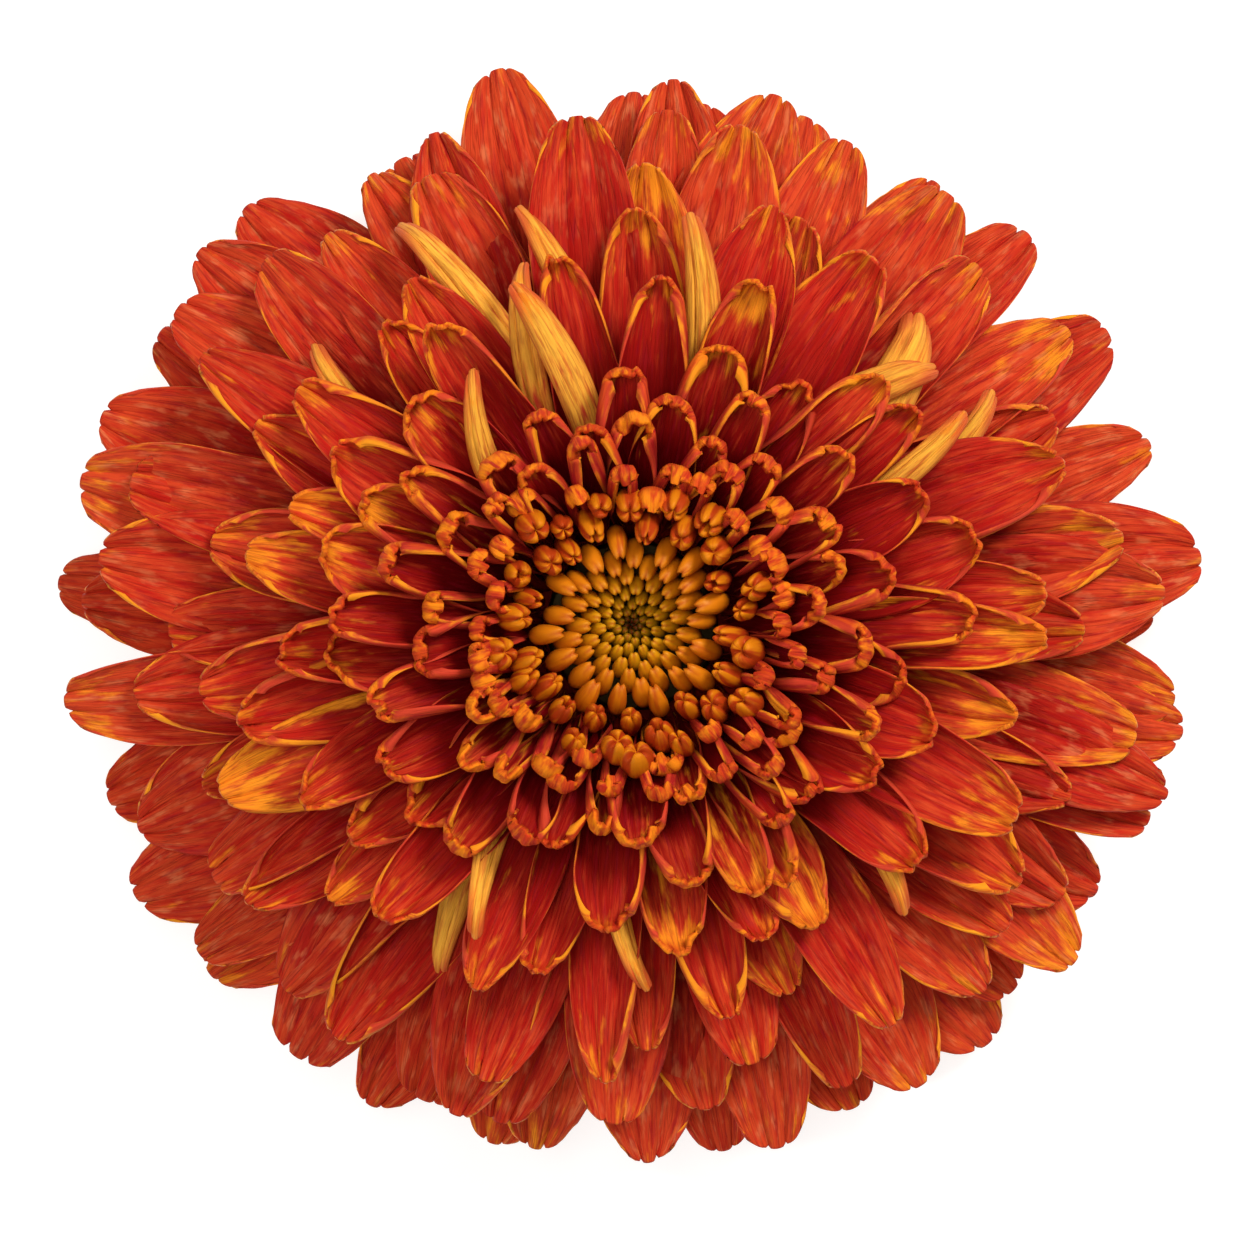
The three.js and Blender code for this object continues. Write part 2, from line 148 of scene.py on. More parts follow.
# The greatest strays of a floret, where LOOSE is 1
AZIMUTH_STRAY = math.radians(3)
REACH_STRAY = 2.2 * MM
HEIGHT_STRAY = 1.2 * MM
SLOPE_STRAY = math.radians(11)
WIDTH_STRAY = 0.18  # as a share, in every row
CUP_STRAY = 0.25
RESTING_HEIGHT = 0.42 * MM  # of the midline of a tip that lies on the surface
print(RAYS + HALF_OPEN, "rays,", KNOBS, "opening florets and", BUDS, "buds follow the rule")

# %% [markdown]
# ## The arch of a floret
# A petal leaves the head steeply, bows outwards and ends level or hanging. It could be bent by hand
# with a curve object, but a curve of four control points says the same with a root, a tip and the two
# slopes. No two petals are alike either, so each one strays a little, by a draw that can be repeated.

# %% Draws, tables and arches
def scatter(index, purpose):
    """A repeatable draw between -1 and 1. Each purpose has a number of its own."""
    x = math.sin((index + 1) * 12.9898 + (purpose + SCATTER_SEED) * 78.233) * 43758.5453
    return 2 * (x - math.floor(x)) - 1


def at_row(table, row):
    """The value at a row, or between two rows."""
    return float(np.interp(row, np.arange(len(table)), table))


def smooth(x):
    """Rises softly from 0 at 0 to 1 at 1."""
    x = np.clip(x, 0, 1)
    return x * x * (3 - 2 * x)


def arch(root, tip, root_lift, tip_lift, fullness=0.36):
    """The four control points of a curve that leaves its root and meets its tip at given slopes."""
    root, tip = np.array(root), np.array(tip)
    pull = fullness * np.linalg.norm(tip - root)
    leaving = root + pull * np.array([math.cos(root_lift), math.sin(root_lift)])
    arriving = tip - pull * np.array([math.cos(tip_lift), math.sin(tip_lift)])
    return np.array([root, leaving, arriving, tip])


def along_arch(points, s):
    """Places on the curve at the shares s of its course."""
    s = np.asarray(s)[:, None]
    a, b, c, d = points
    return (1 - s) ** 3 * a + 3 * (1 - s) ** 2 * s * b + 3 * (1 - s) * s**2 * c + s**3 * d


def round_head(azimuth, radius, sideways, height):
    """Places out along an azimuth from the middle of the bloom."""
    cos, sin = math.cos(azimuth), math.sin(azimuth)
    return np.stack([radius * cos - sideways * sin, radius * sin + sideways * cos, height], axis=-1)


print("draws for the outermost floret:", [round(scatter(0, purpose), 2) for purpose in (1, 2, 3)])

# %% [markdown]
# ## Tips that the photograph shows
# The eye catches the outline of the bloom and the few straps that have turned their golden back up.
# Those tips stand where they were measured, and all others follow the rule alone. Each measured tip
# goes to the floret that the rule had put nearest already, so no floret is added or lost.

# %% Settle the outline and the turned straps
TURN_WEIGHT = 0.6  # a degree round the head counts like 0.6 mm of reach


def off_by(azimuth, index):
    """How far a floret stands from an azimuth, in degrees."""
    return abs((azimuth - math.degrees(index * GOLDEN_ANGLE) + 180) % 360 - 180)


def settle_rim():
    """Each tip of the outline goes to the nearest outer floret that is still free."""
    free = list(range(len(RIM_TIPS)))
    settled = {}
    for azimuth, reach in RIM_TIPS:
        nearest = min(free, key=lambda index: off_by(azimuth, index))
        free.remove(nearest)
        settled[nearest] = (math.radians(azimuth), reach * MM)
    return settled


def settle_straps():
    """Each turned strap goes to the floret whose tip would be nearest."""
    free = [index for index in range(RAYS) if index not in RIM]
    settled = {}
    for azimuth, reach, width, rise in STRAPS:
        nearest = min(free, key=lambda index: math.hypot(
            off_by(azimuth, index) * TURN_WEIGHT, reach - at_row(REACH, index / ROW) / MM))
        free.remove(nearest)
        settled[nearest] = (math.radians(azimuth), reach * MM, width * MM, rise * MM)
    return settled


RIM = settle_rim()
TURNED = settle_straps()
print(len(RIM), "tips of the outline and", len(TURNED), "turned straps are settled")

# %% [markdown]
# ## The rule of one floret
# From its number alone a floret now gets all that places it: its row, its azimuth, its arch, its width
# and how hollow it is. A rule keeps the rows of a real head, which petals set one by one soon lose.

# %% Write the rule
def ray_rule(index):
    """What places one floret."""
    row = index / ROW
    loose = at_row(LOOSE, row)
    azimuth = index * GOLDEN_ANGLE + AZIMUTH_STRAY * loose * scatter(index, 1)
    reach = at_row(REACH, row) + REACH_STRAY * loose * scatter(index, 2)
    azimuth, reach = RIM.get(index, (azimuth, reach))
    width = at_row(WIDTH, row) * (1 + WIDTH_STRAY * scatter(index, 4))
    azimuth, reach, width, rise = TURNED.get(index, (azimuth, reach, width, 0))
    height = at_row(TIP_HEIGHT, row) + HEIGHT_STRAY * loose * scatter(index, 3)
    height += rise + LIFTED.get(index, 0)
    tip_lift = at_row(TIP_LIFT, row) + SLOPE_STRAY * loose * scatter(index, 17)
    return {
        "index": index,
        "row": row,
        "azimuth": azimuth,
        "arch": arch(
            (at_row(ROOT_RADIUS, row), at_row(ROOT_HEIGHT, row)),
            (reach, RESTING_HEIGHT if index < RESTING else height),
            at_row(ROOT_LIFT, row),
            tip_lift,
        ),
        "half_width": width / 2,
        "cup": at_row(CUP, row) * (1 + CUP_STRAY * scatter(index, 5)),
    }


print("reach of the outermost floret, mm:", round(ray_rule(0)["arch"][3, 0] / MM, 1))

# %% [markdown]
# ## One floret, cut flat
# A ray floret starts as a flat strip. It could be drawn by hand, point by point, but the strip is the
# same for all 234, so it is cut once: a grid for the strip, thickened by a Solidify modifier so that
# it has a top, a back and an edge. X runs along it from root to tip and Y runs across it. The real
# thickness comes later: here the modifier only has to tell the top from the back.

# %% Cut the flat strip
# Shares of the half width at which the points lie, closer together at the crease and the margin
ACROSS = [0, 0.1, 0.19, 0.26, 0.31, 0.36, 0.43, 0.53, 0.64, 0.75, 0.85, 0.93, 1]
STEPS_ALONG = 30


def flat_strip(name, steps_along, steps_across):
    """A grid with a top, a back and an edge, as its points' steps along and across and their side."""
    bpy.ops.object.select_all(action="DESELECT")
    bpy.ops.mesh.primitive_grid_add(x_subdivisions=steps_along, y_subdivisions=steps_across, size=2)
    strip = bpy.context.object
    strip.name = name
    thickness = strip.modifiers.new("thickness", "SOLIDIFY")
    thickness.thickness = 0.2  # only parts the top from the back
    thickness.offset = 0
    bpy.ops.object.modifier_apply(modifier=thickness.name)
    places = np.array([tuple(vertex.co) for vertex in strip.data.vertices])
    faces = np.array([tuple(face.vertices) for face in strip.data.polygons])
    bpy.data.objects.remove(strip)
    steps = [np.unique(places[:, axis].round(5)) for axis in (0, 1)]
    return {
        "along": np.searchsorted(steps[0], places[:, 0].round(5)),
        "across": np.searchsorted(steps[1], places[:, 1].round(5)),
        "side": np.sign(places[:, 2]),
        "faces": faces,
        "shape": (len(steps[0]), len(steps[1])),
    }


RAY_STRIP = flat_strip("ray_strip", STEPS_ALONG, 2 * len(ACROSS) - 2)
print("strip:", len(RAY_STRIP["faces"]), "faces, in a grid of", RAY_STRIP["shape"], "points a side")

# %% [markdown]
# ## The curl of each floret
# What makes the bloom look alive is that the strips are not flat. The outer ones are nearly flat, with
# soft pillows between two creases. Further in they are hollow like spoons, their margins roll in and
# their toothed tips fold over, get fleshy and lumpy, and close. The amounts change from row to row, so
# they are kept in tables that are read between two rows as well.

# %% Shape tables for the curl
# From the outermost row to the innermost
TIP_ROUND = MM * np.array([2.6, 2.5, 2.5, 2.7, 2.8, 2.6, 2.0, 1.2])
TIP_WIDTH = np.array([0.46, 0.45, 0.43, 0.4, 0.38, 0.42, 0.54, 0.6])  # share of the width
TAPER = np.array([0.72, 0.72, 0.7, 0.66, 0.62, 0.62, 0.66, 0.7])  # where the width begins to shrink
HOOD = np.radians([2, 6, 16, 36, 66, 100, 126, 120])  # how far the tip folds over
MARGIN_ROLL = np.radians([4, 10, 30, 36, 44, 56, 70, 60])  # how far the margins turn in near the tip
ROLL_SCATTER = np.radians([20, 60, 110, 110, 70, 40, 40, 20])
FOLD = np.array([0.86, 0.86, 0.86, 0.87, 0.885, 0.895, 0.88, 0.86])  # where the fold of the tip begins
CLOSING = np.radians([0, 0, 0, 0, 4, 10, 16, 20])  # how much further the section closes at the tip
PILLOW = MM * np.array([0.5, 0.5, 0.46, 0.38, 0.28, 0.2, 0.14, 0.14])
NOTCH = MM * np.array([0.4, 0.45, 0.5, 0.5, 0.42, 0.36, 0.36, 0.4])
THICKNESS = 0.4 * MM
SWELLING = np.array([0, 0, 0.1, 0.15, 0.3, 0.6, 0.8, 0.8])  # how much thicker the three teeth get
LUMPS = MM * np.array([0, 0, 0, 0.04, 0.07, 0.12, 0.18, 0.22])  # height of the lumps round the tip
CREASE = 0.31  # how far out the two creases run, as a share of the half width
print("the innermost tips fold over by", round(math.degrees(HOOD[-1])), "degrees")

# %% [markdown]
# ## The form of one floret
# Beside a row's usual curl each floret has its own: one margin rolls in more than the other, a tooth
# folds further, a crease lies off the middle. All of that comes from draws of the floret itself. The
# turned straps get a form that bulges upwards instead, bent to one side like a real loose petal.

# %% Choose the form
TURNED_CUP, TURNED_CUP_STRAY = -74, 14
TURNED_ROLL = math.radians(-30)
TURNED_HOOD = math.radians(-50)
TURNED_BEND, TURNED_BEND_STRAY = 2.5 * MM, 3 * MM


def floret_form(rule):
    """The curl of one floret, from its row and its own draws."""
    index, row = rule["index"], rule["row"]
    loose = at_row(LOOSE, row)
    draws = {purpose: scatter(index, purpose) for purpose in range(6, 25)}
    form = {
        "round": at_row(TIP_ROUND, row) * (1 + 0.2 * draws[6]),
        "tip_width": at_row(TIP_WIDTH, row) + 0.12 * draws[18],
        "taper": at_row(TAPER, row),
        "hoods": [at_row(HOOD, row) * (1 + 0.35 * draws[p]) for p in (7, 23, 24)],
        "roll": [at_row(MARGIN_ROLL, row) + at_row(ROLL_SCATTER, row) * draws[p] for p in (8, 9)],
        "roll_place": [0.74 + 0.2 * draws[p] for p in (21, 22)],
        "flange": 0.66 - 0.2 * smooth((row - 3) / 3),
        "pillow": at_row(PILLOW, row) * (1 + 0.5 * draws[10]),
        "notch": [at_row(NOTCH, row) * (1 + 0.6 * draws[p]) for p in (11, 12)],
        "bend": 3 * MM * draws[13] * (1 - row / 9),
        "settled": float(index in RIM or index in TURNED),  # 1 where the tip must stay in place
        "twist": math.radians(15) * loose * draws[14],
        "wave": ((0.44 - 0.03 * row) * MM, math.pi * draws[15]),
        "crease_shift": 0.09 * draws[16],
        "cup": rule["cup"],
        "closing": at_row(CLOSING, row) * (1 + 0.3 * draws[19]),
        "swelling": at_row(SWELLING, row),
        "lumps": (at_row(LUMPS, row), math.pi * draws[17]),
        "fold": at_row(FOLD, row) - 0.035 * smooth(row - 4.5) * (1 + draws[20]),
        "gilt": 0.0,  # 1 where the golden back faces up
    }
    if index in TURNED:
        form.update({
            "cup": math.radians(TURNED_CUP + TURNED_CUP_STRAY * draws[19]),
            "roll": [TURNED_ROLL] * 2,
            "hoods": [TURNED_HOOD] * 3,
            "tip_width": 0.5,
            "taper": 0.6,
            "twist": math.radians(34) * draws[14],
            "bend": math.copysign(TURNED_BEND, draws[13]) + TURNED_BEND_STRAY * draws[13],
            "round": 1.8 * MM,
            "gilt": 1.0,
        })
    return form


print("cup of the outermost floret, degrees:", round(math.degrees(floret_form(ray_rule(0))["cup"]), 1))

# %% [markdown]
# ## Outline and section
# Seen flat, a petal is a narrow claw that widens, and ends in a round tip with a notch where each
# crease meets it. Cut across, it is a shallow or a deep bow. The outline only slides the points along
# the strip. The section is drawn by turning a little further at each step across, which keeps the
# width of the petal whatever its curl, as bending a real one does.

# %% Draw the outline and the section
NOTCH_WIDTH = 0.07
SOFT_CREASE, SHARP_CREASE = 0.16, 0.05  # widths, as shares of the half width
CLAW = 0.16  # width at the root, as a share of the greatest
WAVES = 15  # length of the wave along the margin, in radians


def strip_grid(strip, shares):
    """The shares along, from 0 to 1, and across, from -1 to 1, of a strip's points."""
    along = 1 - np.linspace(1, 0, strip["shape"][0]) ** 1.55  # closer together at the tip
    across = np.concatenate([-np.array(shares[:0:-1]), shares])
    return np.meshgrid(along, across, indexing="ij")


def crease_depth(v, width):
    """Ones at the two creases, fading quickly to zero beside them."""
    return np.exp(-(((np.abs(v) - CREASE) / width) ** 2))


def width_share(s, tip_width, taper):
    """The width along the strip, as a share of its greatest width."""
    claw = CLAW + (1 - CLAW) * smooth((s + 0.04) / 0.68) ** 0.9
    beyond = np.clip((s - taper) / (1 - taper), 0, 1)
    return claw * np.sqrt(1 - (1 - tip_width**2) * beyond**2)


def outline(form, length):
    """The shares along and across, where the columns end on a round, notched tip."""
    t, v = strip_grid(RAY_STRIP, ACROSS)
    off_middle = np.abs(v + form["crease_shift"] * (1 - v**2))
    ogive = form["round"] * (1 - np.clip(1 - off_middle**2.2, 0, 1) ** 0.5)
    notches = np.where(v > 0, form["notch"][0], form["notch"][1]) * crease_depth(v, NOTCH_WIDTH)
    return t - (ogive + notches) / length * t**4, v


def turns_across(form, s, v):
    """How far the section has turned at each point: by its cup, and faster where the margins roll."""
    opening = form["cup"] + form["closing"] * smooth((s - 0.64) / 0.24)
    turn = opening * v
    for side, roll, place in zip((1, -1), form["roll"], form["roll_place"]):
        margin = smooth((side * v - form["flange"]) / (1 - form["flange"])) * smooth((s - 0.3) / 0.4)
        turn = turn + side * roll * margin * (0.35 + 0.65 * np.exp(-(((s - place) / 0.2) ** 2)))
    return turn, opening / form["cup"]


def section(half_width, form, s, v):
    """How far each point lies beside the midline and above it."""
    turn, closed = turns_across(form, s, v)
    # A closing tip would look pinched, so it gets wider as it closes
    reach_across = half_width * width_share(s, form["tip_width"], form["taper"]) * closed**0.8
    middle = (turn[:, 1:] + turn[:, :-1]) / 2
    stride = np.diff(v, axis=1) * (reach_across[:, 1:] + reach_across[:, :-1]) / 2
    sideways = np.zeros_like(v)
    rise = np.zeros_like(v)
    sideways[:, 1:] = np.cumsum(np.cos(middle) * stride, axis=1)
    rise[:, 1:] = np.cumsum(np.sin(middle) * stride, axis=1)
    centre = v.shape[1] // 2
    sideways -= sideways[:, centre : centre + 1]
    rise -= rise[:, centre : centre + 1]
    fade = smooth((s - 0.15) / 0.4)  # plain near the root
    creases = 0.6 * crease_depth(v, SOFT_CREASE) + 0.4 * crease_depth(v, SHARP_CREASE)
    rise -= form["pillow"] * fade * creases
    height, phase = form["wave"]
    rise += height * fade * v**2 * np.sin(WAVES * s + phase + np.sign(v))
    return sideways, rise


shares = width_share(np.array([0, 0.5, 1]), tip_width=0.5, taper=0.7)
print("width at the root, the middle and the tip, as shares:", shares.round(2))

# %% [markdown]
# ## Course
# A petal's three teeth fold over at its tip, each by itself, and the whole petal is a little twisted
# and bent to one side. The arch is therefore walked in many short steps, once for each tooth, with
# the slope of every step turned further beyond the fold. The three walks are blended across the petal.

# %% Lay the section along the arch
FINE = np.linspace(0, 1, 140)  # shares at which the arch is walked
FOLD_END = 0.985


def walk(points):
    """The arch in short steps: its places, the steps between them and their lengths."""
    course = along_arch(points, FINE)
    steps = np.diff(course, axis=0)
    return course, steps, np.linalg.norm(steps, axis=1)


def folded_course(points, form, s, v):
    """Distance from the axis, height and slope of the midline under each point."""
    course, steps, lengths = walk(points)
    slopes = np.arctan2(steps[:, 1], steps[:, 0])
    folding = smooth((FINE[1:] - form["fold"]) / (FOLD_END - form["fold"]))
    left = smooth((-v - 0.24) / 0.14)
    right = smooth((v - 0.24) / 0.14)
    radius, height, lift = 0, 0, 0
    for hood, share in zip(form["hoods"], (left, 1 - left - right, right)):
        angles = slopes + hood * folding
        strides = lengths[:, None] * np.stack([np.cos(angles), np.sin(angles)], axis=1)
        folded = np.vstack([course[:1], course[0] + np.cumsum(strides, axis=0)])
        radius = radius + share * np.interp(s, FINE, folded[:, 0])
        height = height + share * np.interp(s, FINE, folded[:, 1])
        lift = lift + share * np.interp(s, FINE[1:], angles)
    return radius, height, lift


def bend_strip(rule, form):
    """The middle surface of one floret, as a grid of places, with its shares along and across."""
    length = walk(rule["arch"])[2].sum()
    s, v = outline(form, length)
    sideways, rise = section(rule["half_width"], form, s, v)
    radius, height, lift = folded_course(rule["arch"], form, s, v)
    twist = form["twist"] * smooth(s)
    sideways, rise = (
        sideways * np.cos(twist) - rise * np.sin(twist),
        sideways * np.sin(twist) + rise * np.cos(twist),
    )
    radius = radius - rise * np.sin(lift)
    height = height + rise * np.cos(lift)
    # A settled tip stays in place, and only the middle of its petal bends
    sideways = sideways + form["bend"] * (s**2 - form["settled"] * s) * (1 + 2 * form["settled"])
    return round_head(rule["azimuth"], radius, sideways, height), s, v, length


print("length of the outermost floret, mm:", round(walk(ray_rule(0)["arch"])[2].sum() / MM, 1))

# %% [markdown]
# ## Thickness
# A petal is thin, and thinner still at its margin. Near the middle of the bloom the tips are fleshy
# instead, with a lumpy, knuckled rim. Top and back are set off from the middle surface along its
# normals, as a Solidify modifier would do, but with a thickness that changes from point to point.

# %% Give the floret its thickness
MARGIN_THINNING = 0.6
LUMPS_ACROSS = 2.6


def thicken(places, v, strip, thickness=1.0, lump=0.0):
    """The top and back of a strip, set off from its middle surface, with lumps on its back."""
    normal = np.cross(np.gradient(places, axis=0), np.gradient(places, axis=1))
    normal /= np.linalg.norm(normal, axis=2, keepdims=True) + 1e-12
    half = THICKNESS / 2 * thickness * (1 - MARGIN_THINNING * np.abs(v) ** 4)
    offset = half[..., None] * normal
    middle = places - np.broadcast_to(lump, v.shape)[..., None] * normal
    rows, columns = strip["along"], strip["across"]
    return middle[rows, columns] + strip["side"][:, None] * offset[rows, columns]


def flesh(s, v, form):
    """How thick the floret is where its three teeth are fleshy, and the lumps round its tip."""
    teeth = smooth((s - 0.87) / 0.08) * (1 - 0.6 * crease_depth(v, 0.13))
    height, phase = form["lumps"]
    lump = height * smooth((s - 0.86) / 0.08) * np.cos(LUMPS_ACROSS * math.pi * v + phase) ** 2
    return 1 + form["swelling"] * teeth, lump


print("a petal is", round(THICKNESS / MM, 2), "mm thick, and fleshy tips more")

# %% [markdown]
# ## From one strip to the whole bloom
# Each floret is a copy of the strip with points of its own, and 47 florets make one piece, which keeps
# every piece light. Besides its place, each point keeps a few numbers for the colours: how far along
# and across the floret it lies, whether it is on the top or the back, its row, and one draw that the
# whole floret shares. Two maps go along: one to paint by, in millimetres along the fibres, and one that
# gives the top and the back of each floret a cell of its own, to bake the finish into.

# %% Join copies into one piece
ATLAS_MARGIN = 0.04  # of a cell of the map, left free round each floret


def join_copies(name, copies, faces, numbers, uv_maps):
    """One mesh piece from many copies of the same faces, with point numbers and UV maps."""
    count = len(copies[0])
    vertices = np.concatenate(copies)
    all_faces = [
        [corner + count * copy for corner in face] for copy in range(len(copies)) for face in faces
    ]
    mesh = bpy.data.meshes.new(name)
    mesh.from_pydata(vertices.tolist(), [], all_faces)
    for label, values in numbers.items():
        layer = mesh.attributes.new(label, "FLOAT", "POINT")
        layer.data.foreach_set("value", np.concatenate(values).astype(np.float32))
    for label, corners in uv_maps.items():
        layer = mesh.uv_layers.new(name=label)
        layer.data.foreach_set("uv", np.concatenate(corners).astype(np.float32).ravel())
    mesh.shade_smooth()
    mesh.update()
    piece = bpy.data.objects.new(name, mesh)
    bpy.context.scene.collection.objects.link(piece)
    return piece


def strip_atlas(strip, copies):
    """A place of its own on the picture plane for the top and the back of every copy."""
    across_count = math.ceil(math.sqrt(2 * copies))
    cell = 1 / across_count
    rows, columns = strip["shape"]
    faces, side = strip["faces"], strip["side"]
    flat = np.stack([strip["across"] / (columns - 1), strip["along"] / (rows - 1)], axis=1)
    is_back = (side[faces] < 0).all(axis=1)
    is_rim = (side[faces].min(axis=1) < 0) & (side[faces].max(axis=1) > 0)
    inner = ATLAS_MARGIN + (1 - 2 * ATLAS_MARGIN) * flat
    outer = inner + 0.7 * ATLAS_MARGIN * np.sign(flat - 0.5) * (np.abs(flat - 0.5) > 0.4999)
    corners = np.where((is_rim[:, None] & (side[faces] < 0))[..., None], outer[faces], inner[faces])
    atlas = []
    for copy in range(copies):
        cells = 2 * copy + is_back.astype(int)
        place = np.stack([cells % across_count, cells // across_count], axis=1)
        atlas.append(((corners + place[:, None, :]) * cell).reshape(-1, 2))
    return atlas


print("each floret keeps", ATLAS_MARGIN, "of its cell free on every side")

# %% [markdown]
# ## Build the petals
# The petals could be one mesh, but then every change would touch all of them. In five pieces, from the
# rim inwards, they can be hidden, moved or painted by themselves.

# %% Build the petals
PIECE_SIZE = 47  # florets in one piece
APART = 20  # how far the fibres of two florets lie apart in the noise, so that none are alike


def tone_of(number):
    """A draw from 0 to 1 that colours the whole floret."""
    return 0.5 + 0.5 * scatter(number, 20)


def build_rays(name, indices):
    """One piece of petals, with what each point has to know for its colour."""
    strip = RAY_STRIP
    copies, fibres = [], []
    numbers = {label: [] for label in ("along", "across", "back", "tone", "ring", "gilt")}
    rows, columns = strip["along"], strip["across"]
    count = len(rows)
    for index in indices:
        rule = ray_rule(index)
        form = floret_form(rule)
        places, s, v, length = bend_strip(rule, form)
        copies.append(thicken(places, v, strip, *flesh(s, v, form)))
        numbers["along"].append(s[rows, columns])
        numbers["across"].append(v[rows, columns])
        numbers["back"].append((1 - strip["side"]) / 2)
        numbers["tone"].append(np.full(count, tone_of(index)))
        numbers["ring"].append(np.full(count, rule["row"] / 7))
        numbers["gilt"].append(np.full(count, form["gilt"]))
        points = np.stack([v * 4.5 + APART * index, s * length / MM], axis=2)[rows, columns]
        fibres.append(points[strip["faces"]].reshape(-1, 2))
    uv_maps = {"OFBake": strip_atlas(strip, len(copies)), "fibres": fibres}
    return join_copies(name, copies, strip["faces"].tolist(), numbers, uv_maps)


ray_pieces = []
for first in range(0, RAYS + HALF_OPEN, PIECE_SIZE):
    indices = range(first, min(first + PIECE_SIZE, RAYS + HALF_OPEN))
    ray_pieces.append(build_rays(f"ray_florets_{len(ray_pieces) + 1}", indices))
for piece in ray_pieces:
    print(piece.name, 2 * len(piece.data.polygons), "triangles")

# %% [markdown]
# ## The receptacle
# All florets grow from a solid pad, the receptacle. The petals hide it, but without it one could look
# through the bloom between their roots. A cylinder, bevelled and a little narrower at the top, is
# enough, and it gets the petals' dark crimson, so that it is lost in the shade between them.

# %% Turn the receptacle
CORE = {"base": 11.6 * MM, "top": 20.2 * MM, "radius": 10.9 * MM, "top_radius": 10.2 * MM}
SMOOTH_BELOW = math.radians(40)  # sharper edges than this stay crisp


def rest_at_origin(piece):
    """Put the piece's place into its mesh, and leave the object itself at the origin."""
    bpy.ops.object.select_all(action="DESELECT")
    piece.select_set(True)
    bpy.context.view_layer.objects.active = piece
    bpy.ops.object.transform_apply(location=True, rotation=True, scale=True)


def add_cone(name, low_radius, top_radius, base, top, sides, bevel):
    """An upright cone with its top cut off and its edges rounded."""
    bpy.ops.object.select_all(action="DESELECT")
    bpy.ops.mesh.primitive_cone_add(
        vertices=sides, radius1=low_radius, radius2=top_radius, depth=top - base,
        location=(0, 0, (base + top) / 2),
    )
    piece = bpy.context.object
    piece.name = name
    rest_at_origin(piece)
    round_edges = piece.modifiers.new("rounded edges", "BEVEL")
    round_edges.width = bevel
    round_edges.segments = 3
    round_edges.limit_method = "ANGLE"
    bpy.ops.object.modifier_apply(modifier=round_edges.name)
    bpy.ops.object.shade_smooth_by_angle(angle=SMOOTH_BELOW)
    return piece


receptacle = add_cone(
    "receptacle", CORE["radius"], CORE["top_radius"], CORE["base"], CORE["top"], 48, 0.8 * MM
)
print("receptacle:", len(receptacle.data.polygons), "faces")

# %% [markdown]
# ## The florets just opening
# Between the petals and the buds stands a ring of short tubes. Each is folded shut by three to five
# lobes that meet in a little star, which faces the middle of the bloom. The tube starts as a sphere:
# its rings slide into a stem with a head, and the head swells between its grooves.

# %% Shape one opening floret
KNOB_SIDES = 30
KNOB_RINGS = 18
# Rings from the root to the star: share of the height, and share of the greatest radius
KNOB_PROFILE = [
    (0.0, 0.0), (0.01, 0.36), (0.12, 0.4), (0.26, 0.46), (0.4, 0.55), (0.52, 0.66), (0.62, 0.78),
    (0.7, 0.88), (0.77, 0.96), (0.83, 1.0), (0.885, 0.99), (0.93, 0.92), (0.965, 0.81), (0.99, 0.67),
    (1.0, 0.52), (1.0, 0.38), (0.99, 0.25), (0.97, 0.12), (0.95, 0.0),
]


def round_pattern(name, sides, rings):
    """A sphere's points as steps round and rings from root to top, with its faces."""
    bpy.ops.object.select_all(action="DESELECT")
    bpy.ops.mesh.primitive_uv_sphere_add(segments=sides, ring_count=rings, radius=1)
    sphere = bpy.context.object
    sphere.name = name
    places = np.array([tuple(vertex.co) for vertex in sphere.data.vertices])
    height_share = 1 - np.arccos(np.clip(places[:, 2], -1, 1)) / math.pi
    pattern = {
        "rings": rings,
        "ring": np.rint(height_share * rings).astype(int),
        "round": np.arctan2(places[:, 1], places[:, 0]),
        "faces": sorted(tuple(face.vertices) for face in sphere.data.polygons),
    }
    bpy.data.objects.remove(sphere)
    return pattern


KNOB = round_pattern("opening_floret_start", KNOB_SIDES, KNOB_RINGS)
print("one opening floret has", len(KNOB["faces"]), "faces")

# %% [markdown]
# ## Set the opening florets round the crater
# They follow the same golden angle as the petals, so they fill the last row without lining up. Those
# further in are smaller, stand lower and lean over more. The sphere is laid along an arch like that of
# a petal, by which its stem leaves the head and its star turns inwards.

# %% Set the opening florets round the crater
KNOB_ROOT = (8.6 * MM, 19.6 * MM)
KNOB_STRAY = 0.5 * MM
KNOB_FULLNESS = 0.42
GROOVE_WIDTH = 0.42
FIRST_HEAD_RING, FIRST_MOUTH_RING = 10, 15


def knob_rule(index):
    """What places and shapes one opening floret."""
    share = index / KNOBS
    number = RAYS + HALF_OPEN + index
    rising = math.radians(60 + 6 * share)
    leaning = math.radians(118 + 18 * scatter(number, 4))
    tip_radius = (12.0 - 4.2 * share) * MM + KNOB_STRAY * scatter(number, 2)
    tip_height = (34.4 - 1.5 * share) * MM + KNOB_STRAY * scatter(number, 3)
    return {
        "azimuth": number * GOLDEN_ANGLE + AZIMUTH_STRAY * scatter(number, 1),
        "arch": arch(KNOB_ROOT, (tip_radius, tip_height), rising, leaning, KNOB_FULLNESS),
        "radius": (1.42 - 0.32 * share) * MM * (1 + 0.2 * scatter(number, 5)),
        "mouth": max(0, 0.3 * scatter(number, 6) - 0.1),
        "turn": math.pi * scatter(number, 7),
        "uneven": (0.16 * scatter(number, 8), math.pi * scatter(number, 9)),
        "lobes": 4 + round(scatter(number, 10)),
        "depth": 0.15 + 0.07 * scatter(number, 11),
    }


